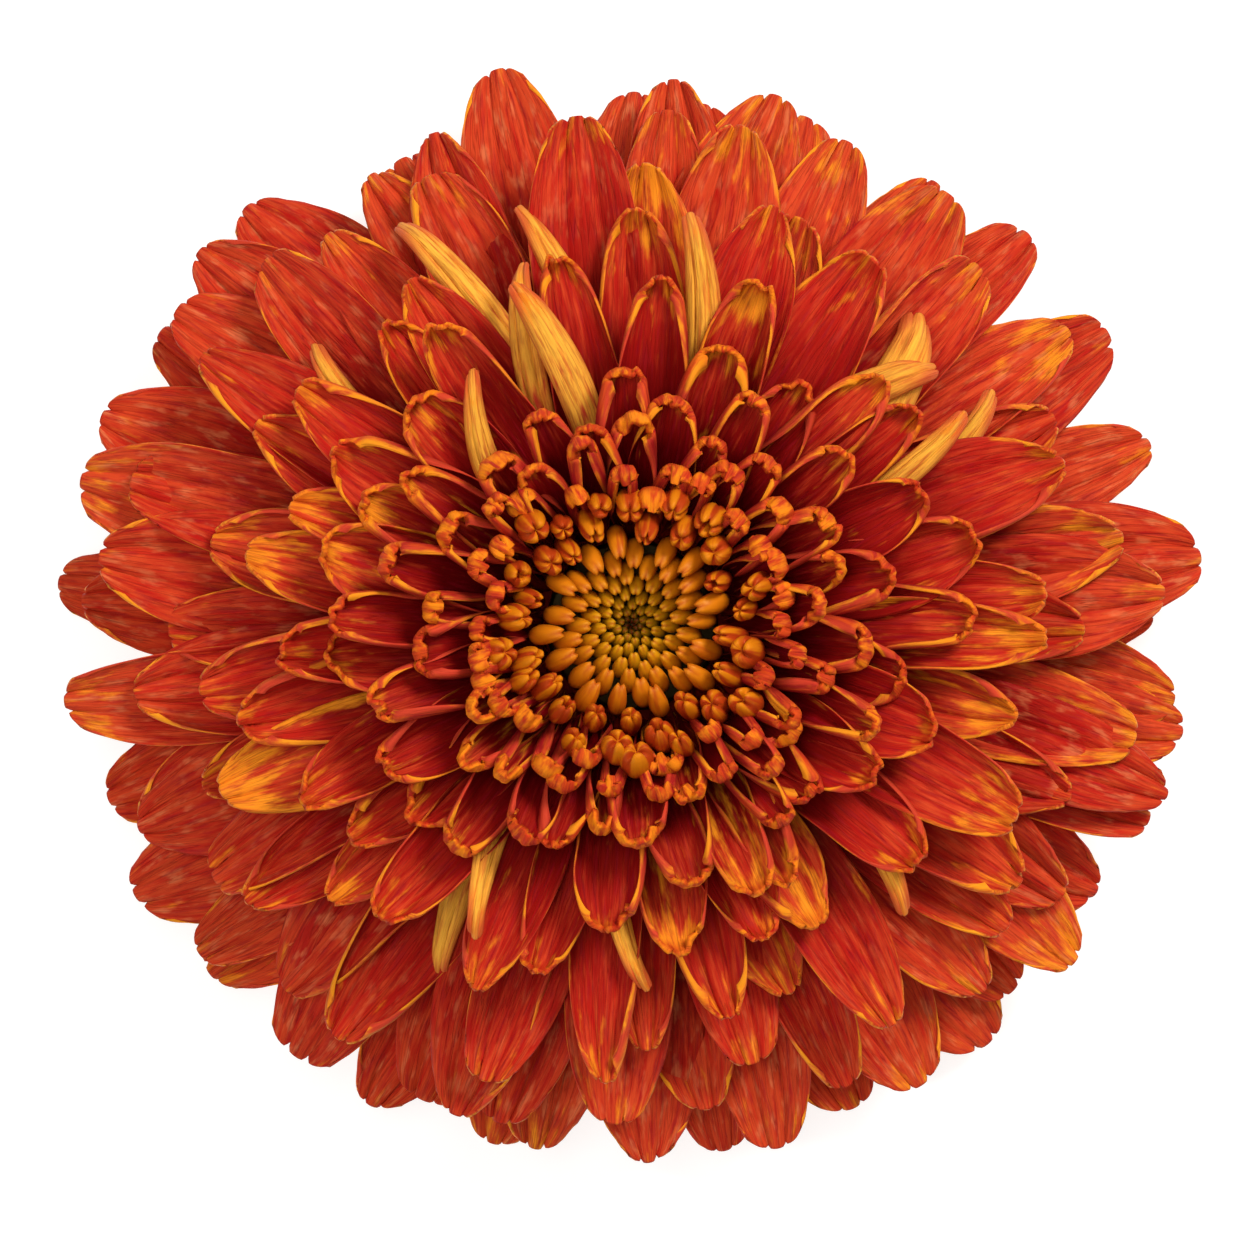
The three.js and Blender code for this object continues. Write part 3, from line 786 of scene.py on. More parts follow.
def carry(rule, height_share, sideways, outward):
    """Points set off from a floret's arch: sideways round the rim, and outward from the curve."""
    fine = np.linspace(0, 1, 60)
    course = along_arch(rule["arch"], fine)
    slopes = np.gradient(course, axis=0)
    run, climb = [np.interp(height_share, fine, slopes[:, axis]) for axis in (0, 1)]
    lift = np.arctan2(climb, run)
    radius = np.interp(height_share, fine, course[:, 0]) - outward * np.sin(lift)
    height = np.interp(height_share, fine, course[:, 1]) + outward * np.cos(lift)
    return round_head(rule["azimuth"], radius, sideways, height)


def carry_round(rule, height_share, radius, turn):
    """A round floret on its arch, from the radius of each point as a share of the greatest."""
    radius = rule["radius"] * radius
    return carry(rule, height_share, radius * np.cos(turn), radius * np.sin(turn))


def shape_knob(rule):
    """Where the points of one opening floret lie, how deep in a groove, how high and how far round."""
    profile = np.array(KNOB_PROFILE)[KNOB["ring"]]
    height, radius = profile[:, 0].copy(), profile[:, 1].copy()
    turn = KNOB["round"]
    around = turn + rule["turn"]
    groove = np.exp(-((np.sin(rule["lobes"] * around / 2) / GROOVE_WIDTH) ** 2))
    head = smooth((height - 0.5) / 0.3)
    top = smooth((KNOB["ring"] - FIRST_HEAD_RING) / 4)
    amount, phase = rule["uneven"]
    radius *= (1 - rule["depth"] * groove * head) * (1 + amount * head * np.cos(2 * turn + phase))
    dip = 0.06 * groove * top * smooth(radius / 0.3)
    mouth = rule["mouth"] * (KNOB["ring"] > FIRST_MOUTH_RING) * (1 - radius)
    height -= dip + mouth
    return carry_round(rule, height, radius, turn), groove * head, height, around


print("lobes of the first five:", [knob_rule(index)["lobes"] for index in range(5)])

# %% [markdown]
# ## Join the opening florets
# Like the petals they become one piece, with a number for the groove, the height and the tone of each
# point. Their map unrolls every floret like a label off a jar, so a face that crosses the seam, or
# touches the axis, needs all its turns on one side.

# %% Join the opening florets
ROUND_MARGIN, ROUND_SHARE = 0.02, 0.92  # of a cell of the map: free at its side, and filled


def round_atlas(pattern, copies):
    """A cell of its own on the picture plane for every round floret, unrolled."""
    across_count = math.ceil(math.sqrt(copies))
    corners = []
    for face in pattern["faces"]:
        turns = pattern["round"][list(face)] / (2 * math.pi) + 0.5
        on_axis = (pattern["ring"][list(face)] % pattern["rings"]) == 0
        if turns[~on_axis].max() - turns[~on_axis].min() > 0.5:
            turns = np.where(turns < 0.5, turns + 1, turns)
        turns = np.where(on_axis, turns[~on_axis].mean(), turns)
        corners.append(np.stack([turns, pattern["ring"][list(face)] / pattern["rings"]], axis=1))
    flat = ROUND_MARGIN + ROUND_SHARE * np.concatenate(corners)
    return [
        (flat + np.array([copy % across_count, copy // across_count])) / across_count
        for copy in range(copies)
    ]


def join_round(name, pattern, copies, numbers, fibres):
    """One piece from many copies of a round floret."""
    order = np.concatenate([np.array(face) for face in pattern["faces"]])
    uv_maps = {
        "OFBake": round_atlas(pattern, len(copies)),
        "fibres": [points[order] for points in fibres],
    }
    return join_copies(name, copies, pattern["faces"], numbers, uv_maps)


def build_knobs():
    """The ring of opening florets, in one piece."""
    copies, fibres = [], []
    numbers = {"groove": [], "along": [], "tone": []}
    for index in range(KNOBS):
        places, groove, height, around = shape_knob(knob_rule(index))
        copies.append(places)
        numbers["groove"].append(groove)
        numbers["along"].append(height)
        numbers["tone"].append(np.full(len(height), tone_of(RAYS + HALF_OPEN + index)))
        fibres.append(np.stack([2 * around + APART * index, 12 * height], axis=1))
    return join_round("opening_florets", KNOB, copies, numbers, fibres)


knob_piece = build_knobs()
print(knob_piece.name, len(knob_piece.data.polygons), "faces")

# %% [markdown]
# ## The closed buds
# In the middle the florets are still shut: plump spindles with a small nick at the tip, leaning in
# over the crater. The youngest, at the very middle, are the smallest, the greenest and the deepest.
# They start as spheres too, with fewer rings, since each is hardly two millimetres wide.

# %% Shape and set the buds
BUD_SIDES = 12
BUD_RINGS = 10
BUD_PROFILE = [
    (0.0, 0.0), (0.02, 0.42), (0.24, 0.5), (0.42, 0.66), (0.56, 0.84), (0.68, 0.97), (0.78, 1.0),
    (0.87, 0.88), (0.94, 0.66), (0.985, 0.36), (1.0, 0.0),
]
BUD = round_pattern("bud_start", BUD_SIDES, BUD_RINGS)
BUD_RIDGES = 5
BUD_FULLNESS = 0.46


def bud_rule(index):
    """What places and shapes one bud: outward is 1 at the rim of the crater and near 0 in its middle."""
    number = RAYS + HALF_OPEN + KNOBS + index
    outward = 1 - 0.965 * index / BUDS
    root = (7.6 * MM * outward, 21.1 * MM)
    tip = (6.3 * MM * outward**1.15, (24.0 + 8.0 * outward) * MM - 3.6 * MM * (1 - outward) ** 6)
    rising = math.radians(90 - 20 * outward)
    leaning = math.radians(112 + 38 * outward)
    return {
        "azimuth": number * GOLDEN_ANGLE + math.radians(2) * scatter(number, 1),
        "arch": arch(root, tip, rising, leaning, BUD_FULLNESS),
        "radius": (0.36 + 0.66 * outward) * MM * (1 + 0.08 * scatter(number, 5)),
        "outward": outward,
    }


def shape_bud(rule):
    """Where the points of one bud lie, how high, and how deep in the nick of its tip."""
    profile = np.array(BUD_PROFILE)[BUD["ring"]]
    height, radius = profile[:, 0].copy(), profile[:, 1].copy()
    turn = BUD["round"]
    nick = np.exp(-((np.cos(turn) * radius / 0.2) ** 2)) * smooth((height - 0.86) / 0.14)
    height -= 0.04 * nick
    radius *= 1 - 0.03 * np.cos(BUD_RIDGES * turn) * smooth((height - 0.4) / 0.3)
    return carry_round(rule, height, radius, turn), height, nick


def build_buds():
    """All the closed buds, in one piece."""
    copies, fibres = [], []
    numbers = {"along": [], "outward": [], "groove": []}
    for index in range(BUDS):
        rule = bud_rule(index)
        places, height, nick = shape_bud(rule)
        copies.append(places)
        numbers["along"].append(height)
        numbers["outward"].append(np.full(len(height), rule["outward"]))
        numbers["groove"].append(nick)
        fibres.append(np.stack([2 * BUD["round"] + APART * index, 9 * height], axis=1))
    return join_round("closed_buds", BUD, copies, numbers, fibres)


bud_piece = build_buds()
bud_bed = add_cone("bud_bed", 8.2 * MM, 8.0 * MM, 20.5 * MM, 21.7 * MM, 36, 0.3 * MM)
print(bud_piece.name, len(bud_piece.data.polygons), "faces")

# %% [markdown]
# ## Bracts
# Turn the bloom over and the petals spring from a shallow green cup, the involucre. Its bracts overlap
# like roof tiles, each with a papery brown margin. They are made as the petals are, from a flat strip
# that is laid on an arch, with three shorter and shorter rows on a plain cup.

# %% Lay the bracts
BRACT_ROWS = [
    {"count": 15, "length": 8.4, "lift": 4, "root_radius": 8.2, "root_height": 10.2},
    {"count": 13, "length": 7.6, "lift": -3, "root_radius": 6.6, "root_height": 9.7},
    {"count": 11, "length": 6.4, "lift": -8, "root_radius": 5.0, "root_height": 9.5},
]
BRACT_STRIP = flat_strip("bract_strip", 12, 8)
BRACT_SHARES = [0, 0.3, 0.6, 0.85, 1]
BRACT_HALF_WIDTH = 1.8 * MM
BRACT_BOW = math.radians(8)
BRACT_HOLLOW = 0.25 * MM
BRACT_DROP = 0.12 * MM


def shape_bract(azimuth, row):
    """The middle surface of one bract, with its shares along and across."""
    t, v = strip_grid(BRACT_STRIP, BRACT_SHARES)
    lift = math.radians(row["lift"])
    root = np.array([row["root_radius"], row["root_height"]]) * MM
    tip = root + row["length"] * MM * np.array([math.cos(lift), math.sin(lift)])
    rule = {"arch": arch(root, tip, lift - BRACT_BOW, lift + BRACT_BOW), "azimuth": azimuth}
    s = t - 0.45 * (1 - (1 - np.abs(v) ** 1.6) ** 0.7) * t**2
    half_width = BRACT_HALF_WIDTH * (0.72 + 0.28 * smooth(s / 0.6))
    flat = [values.ravel() for values in (s, v * half_width, BRACT_HOLLOW * v**2 - BRACT_DROP)]
    places = carry(rule, *flat).reshape(*s.shape, 3)
    return places, s, v


def build_bracts():
    """The three rows of bracts, in one piece."""
    strip = BRACT_STRIP
    copies, across, fibres = [], [], []
    rows, columns = strip["along"], strip["across"]
    for level, row in enumerate(BRACT_ROWS):
        for index in range(row["count"]):
            places, s, v = shape_bract((index + level / 2) * 2 * math.pi / row["count"], row)
            copies.append(thicken(places, v, strip))
            across.append(v[rows, columns])
            points = np.stack([2 * v + APART * len(copies), 8 * s], axis=2)[rows, columns]
            fibres.append(points[strip["faces"]].reshape(-1, 2))
    uv_maps = {"OFBake": strip_atlas(strip, len(copies)), "fibres": fibres}
    return join_copies("bracts", copies, strip["faces"].tolist(), {"across": across}, uv_maps)


bract_piece = build_bracts()
bract_cup = add_cone("bract_cup", 3.8 * MM, 9.8 * MM, 8.5 * MM, 11.3 * MM, 64, 0.5 * MM)
print("bracts:", len(bract_piece.data.polygons), "faces")

# %% [markdown]
# ## The cut stalk
# Below the cup the stalk is cut square, so that the bloom can rest on it. It is a cylinder whose
# points are pushed in and out round it, into five soft ridges with finer ones between, like the ribs
# that stiffen a real stalk.

# %% Cut the stalk
STALK_RADIUS = 3.2 * MM
STALK_TOP = 8.2 * MM
RIDGES = 5
RIDGE_HEIGHT = 0.06
RIBS = 15
RIB_HEIGHT = 0.012
bpy.ops.object.select_all(action="DESELECT")
bpy.ops.mesh.primitive_cylinder_add(
    vertices=60, radius=STALK_RADIUS, depth=STALK_TOP, end_fill_type="NGON",
    location=(0, 0, STALK_TOP / 2),
)
stalk = bpy.context.object
stalk.name = "cut_stalk"
rest_at_origin(stalk)
for vertex in stalk.data.vertices:
    turn = math.atan2(vertex.co.y, vertex.co.x)
    swell = 1 + RIDGE_HEIGHT * math.cos(RIDGES * turn) + RIB_HEIGHT * math.cos(RIBS * turn)
    vertex.co.x *= swell
    vertex.co.y *= swell
bpy.ops.object.shade_smooth_by_angle(angle=SMOOTH_BELOW)
print("stalk:", len(stalk.data.polygons), "faces")

# %% [markdown]
# ## Mixing the colours
# Every finish here is painted with nodes, so nothing is a photograph and nothing is one flat colour.
# The same few steps come back each time: read a number that the points carry, stretch a noise along
# the fibres, turn it into a mask, and mix two colours by it. Short helpers keep those steps readable.
# A piece that doesn't carry a number gives zero for it, such as the receptacle or the bed of the buds.

# %% Helpers for colours and nodes
def paint(red, green, blue):
    """A colour given as a painter's 0 to 255 values."""
    shares = [value / 255 for value in (red, green, blue)]
    return (*[x / 12.92 if x <= 0.04045 else ((x + 0.055) / 1.055) ** 2.4 for x in shares], 1)


def node(tree, kind, wires=(), **settings):
    """A node with its sockets wired to other nodes or set to values."""
    made = tree.nodes.new(kind)
    for key, value in settings.items():
        setattr(made, key, value)
    for socket, value in dict(wires).items():
        if isinstance(value, bpy.types.NodeSocket):
            tree.links.new(value, made.inputs[socket])
        else:
            made.inputs[socket].default_value = value
    return made


def carried(tree, label):
    """A number that the points carry."""
    return node(tree, "ShaderNodeAttribute", attribute_name=label).outputs["Fac"]


def calc(tree, operation, *values):
    """One sum on numbers or on other nodes' values."""
    return node(tree, "ShaderNodeMath", dict(enumerate(values)), operation=operation).outputs[0]


print("painter's red as Blender's colour:", [round(value, 3) for value in paint(180, 24, 20)[:3]])

# %% [markdown]
# ## Masks, coats and fibres
# Paint is built up in coats, and so are these finishes: a mask says where a coat goes, a glaze lays it
# thinly over what is there. The noises that steer them run along the fibres of each petal, which is
# what makes the streaks look grown. A noise in space would cut across the petals like marble.

# %% Helpers for coats and fibres
def weigh(tree, base, *parts):
    """The base with each of the parts, a value and its weight, added to it."""
    for value, weight in parts:
        base = calc(tree, "ADD", base, calc(tree, "MULTIPLY", value, weight))
    return base


def mask(tree, value, low, high):
    """Rises softly from 0 at low to 1 at high."""
    wires = {"Value": value, "From Min": low, "From Max": high}
    return node(tree, "ShaderNodeMapRange", wires, interpolation_type="SMOOTHSTEP").outputs[0]


def mix(tree, share, first, second, how="MIX"):
    """The first colour where the share is 0 and the second where it is 1."""
    wires = {0: share, 6: first, 7: second}
    return node(tree, "ShaderNodeMix", wires, data_type="RGBA", blend_type=how).outputs[2]


def glaze(tree, under, over, share, strength):
    """One colour laid thinly over another where the share is high."""
    return mix(tree, calc(tree, "MULTIPLY", share, strength), under, over)


def fibre_noise(tree, across, along, detail=2.0, offset=0.0):
    """A noise stretched along the fibres: so many spots per millimetre across and along."""
    uv = node(tree, "ShaderNodeUVMap", uv_map="fibres").outputs[0]
    wires = {"Vector": uv, "Scale": (across, along, 1), "Location": (offset, offset, 0)}
    spread = node(tree, "ShaderNodeMapping", wires)
    wires = {"Vector": spread.outputs[0], "Scale": 1.0, "Detail": detail, "Roughness": 0.55}
    return node(tree, "ShaderNodeTexNoise", wires, noise_dimensions="2D").outputs["Fac"]


def start_finish(name):
    """A new material, with its node tree and its shader."""
    material = bpy.data.materials.new(name)
    material.use_nodes = True
    return material, material.node_tree, material.node_tree.nodes["Principled BSDF"]


def finish_with(tree, shader, colour, roughness, height, depth):
    """Wire up the colour and how rough the surface is, with bumps as deep as the given depth."""
    tree.links.new(colour, shader.inputs["Base Color"])
    shader.inputs["Roughness"].default_value = roughness
    bump = node(tree, "ShaderNodeBump", {"Height": height, "Strength": 0.6, "Distance": depth})
    tree.links.new(bump.outputs[0], shader.inputs["Normal"])


# %% [markdown]
# ## The petal finish
# A petal is deep crimson near its root, partly its own colour and partly painted shade where the petals
# overlap, and turns red-orange towards its tip, with lengthwise streaks of crimson and orange and fine
# dark veins. Its margins and teeth are golden in broken patches, and its back is golden tan with rose
# veins. One material does both sides: the points say which is which.
# First come the colours, and the numbers and noises that both sides share.

# %% Gather what the petals are painted by
CRIMSON = paint(108, 1, 8)
RED = paint(180, 24, 20)
ORANGE = paint(202, 66, 34)
MAGENTA = paint(146, 16, 34)
AMBER = paint(248, 156, 32)
TAN = paint(240, 160, 48)
GILT = paint(248, 178, 62)
ROSE = paint(196, 60, 40)
BLUSH = paint(150, 14, 28)
SALMON = paint(204, 54, 22)
NUB = paint(240, 132, 24)
# Colour of a painted highlight, a soft sheen on the outer petals
PEACH_SHEEN = paint(224, 132, 84)
VEIN = paint(104, 8, 12)


def petal_reads(tree):
    """The numbers that the points of a petal carry, and the noises that both of its sides share."""
    labels = ("along", "across", "back", "tone", "ring", "gilt")
    reads = {label: carried(tree, label) for label in labels}
    lines = fibre_noise(tree, 2.2, 0.1, 1.0, 53.0)
    off_line = calc(tree, "ABSOLUTE", calc(tree, "SUBTRACT", lines, 0.5))
    reads["veins"] = mask(tree, off_line, 0.04, 0.0)
    reads["edge"] = calc(tree, "ABSOLUTE", reads["across"])
    reads["streaks"] = fibre_noise(tree, 1.7, 0.22, 4.0)
    reads["fibres"] = fibre_noise(tree, 4.0, 0.22, 2.0, 7.0)
    reads["patches"] = fibre_noise(tree, 0.85, 0.22, 4.0, 31.0)
    reads["cool"] = fibre_noise(tree, 2.0, 0.28, 4.0, 91.0)
    return reads


print("red share of the ground, root to tip:", round(CRIMSON[0], 2), round(RED[0], 2), round(ORANGE[0], 2))

# %% [markdown]
# ## The face of a petal
# Crimson turns to red and orange along the petal, and less so further in, where the spoons are dark: that
# dark crimson is painted shade of their hollows.
# Golden patches gather at the tip and the margins, with magenta veils and a painted peach sheen, a painted
# highlight, over them, then thin dark veins, and a salmon flush on the fleshy teeth. A painter would lay
# them in the same order, from the ground up.

# %% Paint the face
def petal_face(tree, at):
    """The colour of the side that faces the light."""
    along, ring, tone = at["along"], at["ring"], at["tone"]
    # Crimson at the root is partly the petal's own colour and partly painted shade under the petals above;
    # the inner rows get more of it, as painted shade of their hollows
    painted_hollow_shade = calc(tree, "MULTIPLY", mask(tree, ring, 0.45, 0.85), 0.62)
    open_face = calc(tree, "SUBTRACT", mask(tree, along, 0.35, 0.92), painted_hollow_shade)
    face = mix(tree, open_face, CRIMSON, RED)
    warmth = weigh(
        tree, at["streaks"], (mask(tree, along, 0.5, 1.0), 0.3), (tone, 0.2), (ring, -0.28)
    )
    face = mix(tree, mask(tree, warmth, 0.5, 1.0), face, ORANGE)
    gold = weigh(
        tree,
        at["patches"],
        (mask(tree, along, 0.75, 1.0), 0.28),
        (mask(tree, at["edge"], 0.75, 1.0), 0.14),
        (calc(tree, "POWER", tone, 4.0), 0.24),
        (mask(tree, ring, 0.5, 0.1), -0.2),
    )
    face = glaze(tree, face, AMBER, mask(tree, gold, 0.68, 0.98), 0.75)
    face = glaze(tree, face, MAGENTA, mask(tree, at["cool"], 0.5, 0.72), 0.5)
    # A painted peach sheen: a painted highlight in soft patches on the outer petals
    painted_sheen = mask(tree, fibre_noise(tree, 1.1, 0.3, 3.0, 113.0), 0.52, 0.78)
    glow = calc(tree, "MULTIPLY", calc(tree, "MULTIPLY", painted_sheen, 0.5), mask(tree, ring, 0.5, 0.1))
    face = mix(tree, glow, face, PEACH_SHEEN)
    face = glaze(tree, face, VEIN, at["veins"], 0.35)
    nub = calc(tree, "MULTIPLY", mask(tree, along, 0.9, 0.98), mask(tree, ring, 0.3, 0.7))
    return glaze(tree, face, SALMON, nub, 0.6)


# %% [markdown]
# ## The back of a petal
# The turned straps show how golden a petal is behind, with a rose flush at their margins. Nearer the
# middle, where the backs of the standing spoons face the eye, they are blushed red instead, and only
# their margins and their knuckled teeth are golden.

# %% Paint the back
def petal_back(tree, at):
    """The colour of the side that only rolled margins, spoons and turned straps show."""
    along, ring, tone, gilt = at["along"], at["ring"], at["tone"], at["gilt"]
    edge, streaks, patches = at["edge"], at["streaks"], at["patches"]
    bright = mix(tree, gilt, TAN, GILT)
    golden = weigh(tree, mask(tree, streaks, 0.28, 0.66), (gilt, 0.4))
    rear = mix(tree, golden, ORANGE, bright)
    rose = weigh(tree, patches, (mask(tree, along, 1.0, 0.4), 0.3), (gilt, -0.2))
    rear = mix(tree, mask(tree, rose, 0.52, 0.82), rear, ROSE)

    inner = calc(tree, "SUBTRACT", mask(tree, ring, 0.25, 0.6), gilt)
    rise = weigh(tree, along, (calc(tree, "SUBTRACT", streaks, 0.5), 0.9))
    blushed = mix(tree, mask(tree, rise, 0.66, 1.06), BLUSH, SALMON)
    rear = glaze(tree, rear, blushed, calc(tree, "MAXIMUM", inner, 0.0), 0.9)
    rear = glaze(tree, rear, MAGENTA, mask(tree, at["cool"], 0.48, 0.68), 0.35)

    rim = weigh(tree, 0.0, (mask(tree, edge, 0.8, 1.0), 0.5), (patches, 0.8))
    rim = calc(tree, "MULTIPLY", mask(tree, rim, 0.64, 0.95), mask(tree, along, 0.45, 0.9))
    rear = glaze(tree, rear, AMBER, rim, 0.85)
    teeth = calc(tree, "MULTIPLY", mask(tree, ring, 0.3, 0.6), mask(tree, along, 0.82, 0.95))
    spots = fibre_noise(tree, 0.9, 0.7, 2.0, 71.0)
    gilded = mask(tree, weigh(tree, spots, (tone, 0.25)), 0.48, 0.85)
    rear = mix(tree, calc(tree, "MULTIPLY", teeth, gilded), rear, NUB)

    plain = calc(tree, "MULTIPLY", mask(tree, patches, 0.6, 0.42), mask(tree, edge, 0.8, 0.95))
    rear = glaze(tree, rear, ROSE, calc(tree, "SUBTRACT", 1.0, gilt), plain)
    flushed = weigh(tree, 0.0, (edge, 0.5), (streaks, 0.6), (mask(tree, along, 0.8, 1.0), 0.4))
    flushed = calc(tree, "MULTIPLY", gilt, mask(tree, flushed, 0.5, 0.95))
    return glaze(tree, rear, ROSE, flushed, 0.8)


# %% [markdown]
# ## Face and back together
# Light that grazes a petal shows its fibres as fine lengthwise ridges, and the veins as furrows. They
# are far too fine to model, so a bump does for them, and the same fibres darken and lighten the colour:
# partly the grain of the fibres, partly painted light and shade on their ridges.

# %% Finish the petals
PETAL_ROUGHNESS = 0.55
PETAL_BUMP = 0.12 * MM


def petal_finish():
    """One material for both sides of every petal."""
    material, tree, shader = start_finish("petal")
    at = petal_reads(tree)
    face, rear = petal_face(tree, at), petal_back(tree, at)
    colour = mix(tree, calc(tree, "MAXIMUM", mask(tree, at["back"], 0.25, 0.8), at["gilt"]), face, rear)
    # Grain of the fibres, and painted light and shade on their ridges, multiplied into the colour
    grain_and_ridge_shade = weigh(tree, 0.8, (at["fibres"], 0.36))
    shade = node(tree, "ShaderNodeCombineColor", {0: grain_and_ridge_shade, 1: grain_and_ridge_shade, 2: grain_and_ridge_shade}).outputs[0]
    colour = mix(tree, 1.0, colour, shade, "MULTIPLY")
    shader.inputs["Specular IOR Level"].default_value = 0.25
    shader.inputs["Specular Tint"].default_value = paint(255, 150, 90)
    ridges = weigh(tree, at["fibres"], (at["veins"], -0.5))
    finish_with(tree, shader, colour, PETAL_ROUGHNESS, ridges, PETAL_BUMP)
    return material


petal = petal_finish()
for piece in ray_pieces:
    piece.data.materials.append(petal)
receptacle.data.materials.append(petal)
print("petal finish:", len(petal.node_tree.nodes), "nodes")

# %% [markdown]
# ## The finish of the opening florets and the buds
# The opening florets are golden heads on crimson stems, flushed red in their grooves. The buds go from
# golden at the rim of the crater to olive, and to almost black at the youngest, which lie in the shade
# of the others: that near-black is painted shade, and so is the dark at the root of every bud, between its
# neighbours. How far out a bud stands is a number that its points carry, so one finish does for all.

# %% Paint the opening florets and the buds
GOLDEN = paint(212, 120, 14)
HONEY = paint(208, 148, 14)
OLIVE = paint(146, 110, 8)
# Near-black: painted shade in the crater and between the buds
BUD_SHADE = paint(16, 18, 2)
FLUSH = paint(166, 34, 16)


def knob_finish():
    """Golden heads on crimson stems, with red grooves."""
    material, tree, shader = start_finish("opening floret")
    along, groove, tone = carried(tree, "along"), carried(tree, "groove"), carried(tree, "tone")
    fibres = fibre_noise(tree, 2.4, 0.3, 2.0)
    patches = fibre_noise(tree, 0.5, 0.2, 3.0, 11.0)
    colour = mix(tree, mask(tree, along, 0.3, 0.9), CRIMSON, GOLDEN)
    flush = weigh(tree, patches, (groove, 0.3), (mask(tree, along, 0.95, 0.5), 0.25), (tone, 0.12))
    colour = glaze(tree, colour, FLUSH, mask(tree, flush, 0.46, 0.72), 0.85)
    shader.inputs["Specular IOR Level"].default_value = 0.3
    shader.inputs["Specular Tint"].default_value = paint(255, 200, 130)
    finish_with(tree, shader, colour, 0.45, fibres, 0.05 * MM)
    return material


def bud_finish():
    """Golden at the rim of the crater, olive further in, then painted shade at the middle and at the root
    of each bud.
    """
    material, tree, shader = start_finish("bud")
    along, outward, groove = carried(tree, "along"), carried(tree, "outward"), carried(tree, "groove")
    fibres = fibre_noise(tree, 2.4, 0.3, 2.0)
    patches = fibre_noise(tree, 0.5, 0.2, 3.0, 11.0)
    # Near-black at the middle is painted shade of the crater, and olive is the buds' own colour
    colour = mix(tree, mask(tree, outward, 0.1, 0.26), BUD_SHADE, OLIVE)
    ripe = weigh(tree, 0.0, (outward, 1.1), (fibres, 0.3), (mask(tree, along, 0.6, 0.95), 0.2))
    gold = mix(tree, mask(tree, outward, 0.35, 0.85), HONEY, GOLDEN)
    colour = mix(tree, mask(tree, ripe, 0.36, 0.82), colour, gold)
    flush = calc(tree, "MULTIPLY", mask(tree, patches, 0.5, 0.7), mask(tree, outward, 0.7, 1.0))
    colour = glaze(tree, colour, FLUSH, flush, 0.6)
    colour = glaze(tree, colour, FLUSH, groove, 0.6)
    # Painted shade: the root of each bud, between its neighbours, turns near-black
    colour = mix(tree, mask(tree, along, 0.75, 0.55), colour, BUD_SHADE)
    shader.inputs["Specular IOR Level"].default_value = 0.35
    shader.inputs["Specular Tint"].default_value = paint(255, 220, 150)
    finish_with(tree, shader, colour, 0.4, fibres, 0.03 * MM)
    return material


knob_piece.data.materials.append(knob_finish())
bud_material = bud_finish()
bud_piece.data.materials.append(bud_material)
bud_bed.data.materials.append(bud_material)
print("bud finish:", len(bud_material.node_tree.nodes), "nodes")

# %% [markdown]
# ## The green parts and the floor
# Leaf green is never even: it is paler along the ridges and browner at a dry margin. The cut face of
# the stalk shows pale pith inside a green rim. The floor is a plain sheet of matt white, which glows a
# little so that it stays white in every view.

# %% Paint the bracts, the stalk and the floor
LEAF = paint(92, 124, 52)
PALE_LEAF = paint(150, 170, 92)
PAPER = paint(150, 116, 74)
STEM_PITH = paint(214, 216, 170)
PITH_EDGE = (2.75 * MM, 2.45 * MM)  # where the green rim ends and where the pith is pure
CUT_EDGE = (0.1 * MM, 0.02 * MM)


def bract_finish():
    """Leaf green with a papery margin."""
    material, tree, shader = start_finish("bract")
    edge = calc(tree, "ABSOLUTE", carried(tree, "across"))
    fibres = fibre_noise(tree, 3.0, 0.25, 2.0)
    colour = mix(tree, mask(tree, fibres, 0.35, 0.65), LEAF, PALE_LEAF)
    papery = mask(tree, weigh(tree, edge, (fibres, 0.2)), 0.86, 1.02)
    colour = mix(tree, papery, colour, PAPER)
    finish_with(tree, shader, colour, 0.6, fibres, 0.05 * MM)
    return material


def object_noise(tree, place, scale, detail):
    """A noise in space, for pieces without fibres of their own."""
    wires = {"Vector": place, "Scale": scale, "Detail": detail}
    return node(tree, "ShaderNodeTexNoise", wires).outputs["Fac"]


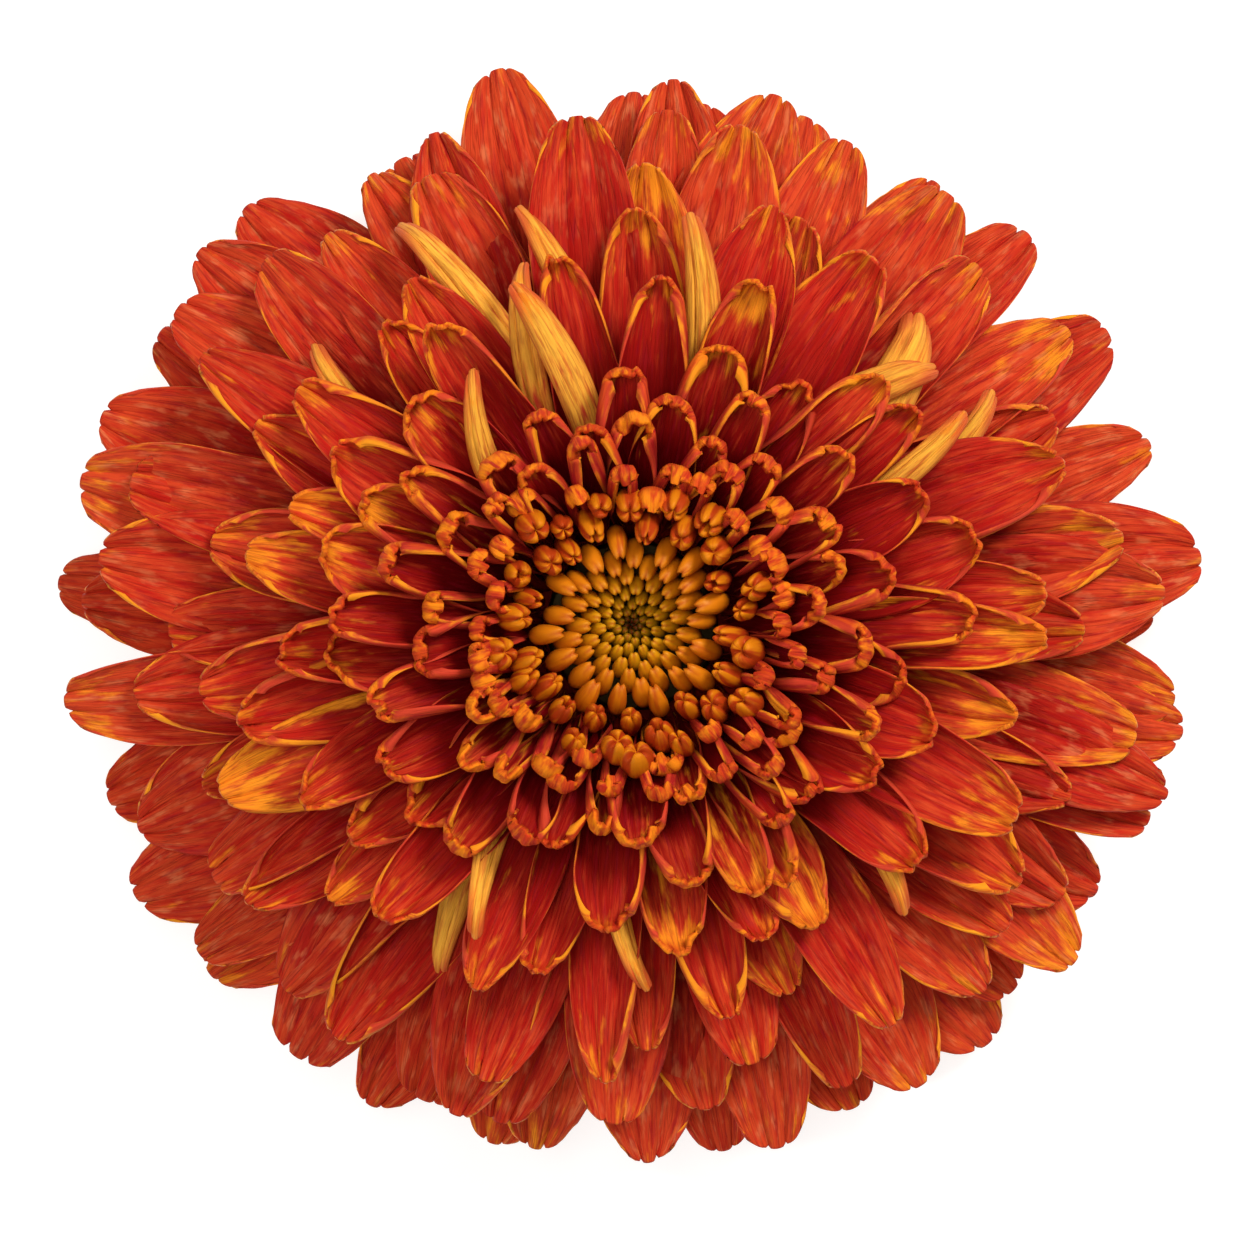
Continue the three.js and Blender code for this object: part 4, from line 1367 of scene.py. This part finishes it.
def stalk_finish():
    """Green along the ridges, with pale pith on the cut face."""
    material, tree, shader = start_finish("stalk")
    place = node(tree, "ShaderNodeTexCoord").outputs["Object"]
    stretch = node(tree, "ShaderNodeMapping", {"Vector": place, "Scale": (2600, 2600, 260)})
    grain = object_noise(tree, stretch.outputs[0], 1.0, 3.0)
    colour = mix(tree, mask(tree, grain, 0.35, 0.65), LEAF, PALE_LEAF)
    x, y, z = node(tree, "ShaderNodeSeparateXYZ", {0: place}).outputs
    squares = calc(tree, "ADD", calc(tree, "POWER", x, 2.0), calc(tree, "POWER", y, 2.0))
    inside = mask(tree, weigh(tree, calc(tree, "SQRT", squares), (grain, 0.3 * MM)), *PITH_EDGE)
    colour = glaze(tree, colour, STEM_PITH, inside, mask(tree, z, *CUT_EDGE))
    finish_with(tree, shader, colour, 0.55, grain, 0.08 * MM)
    return material


def floor_finish():
    """Matt white that glows a little."""
    material, tree, shader = start_finish("studio floor")
    grain = object_noise(tree, node(tree, "ShaderNodeTexCoord").outputs["Object"], 40.0, 2.0)
    sheet = mix(tree, grain, paint(150, 150, 149), paint(160, 160, 159))
    glow = mix(tree, grain, paint(247, 247, 246), paint(251, 251, 250))
    tree.links.new(sheet, shader.inputs["Base Color"])
    tree.links.new(glow, shader.inputs["Emission Color"])
    shader.inputs["Emission Strength"].default_value = 0.85
    shader.inputs["Roughness"].default_value = 0.9
    return material


green = bract_finish()
bract_piece.data.materials.append(green)
bract_cup.data.materials.append(green)
stalk.data.materials.append(stalk_finish())
floor.data.materials.append(floor_finish())
print(len(bpy.data.materials), "materials")

# %% [markdown]
# ## Hand the pieces over
# Each new piece takes the place of the plain solid that it was shaped after: it hangs from the root
# body, and the solid is hidden. The table also gives the finish of each solid.

# %% Replace the plain solids
STANDS_FOR = {
    "ray_florets": ("petal", [*ray_pieces, receptacle, knob_piece]),
    "disc_florets": ("bud", [bud_piece, bud_bed]),
    "involucre": ("bract", [bract_piece, bract_cup]),
    "stalk": ("stalk", [stalk]),
}
for solid, (finish, pieces) in STANDS_FOR.items():
    for piece in pieces:
        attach(piece, "root")
        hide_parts(solid)
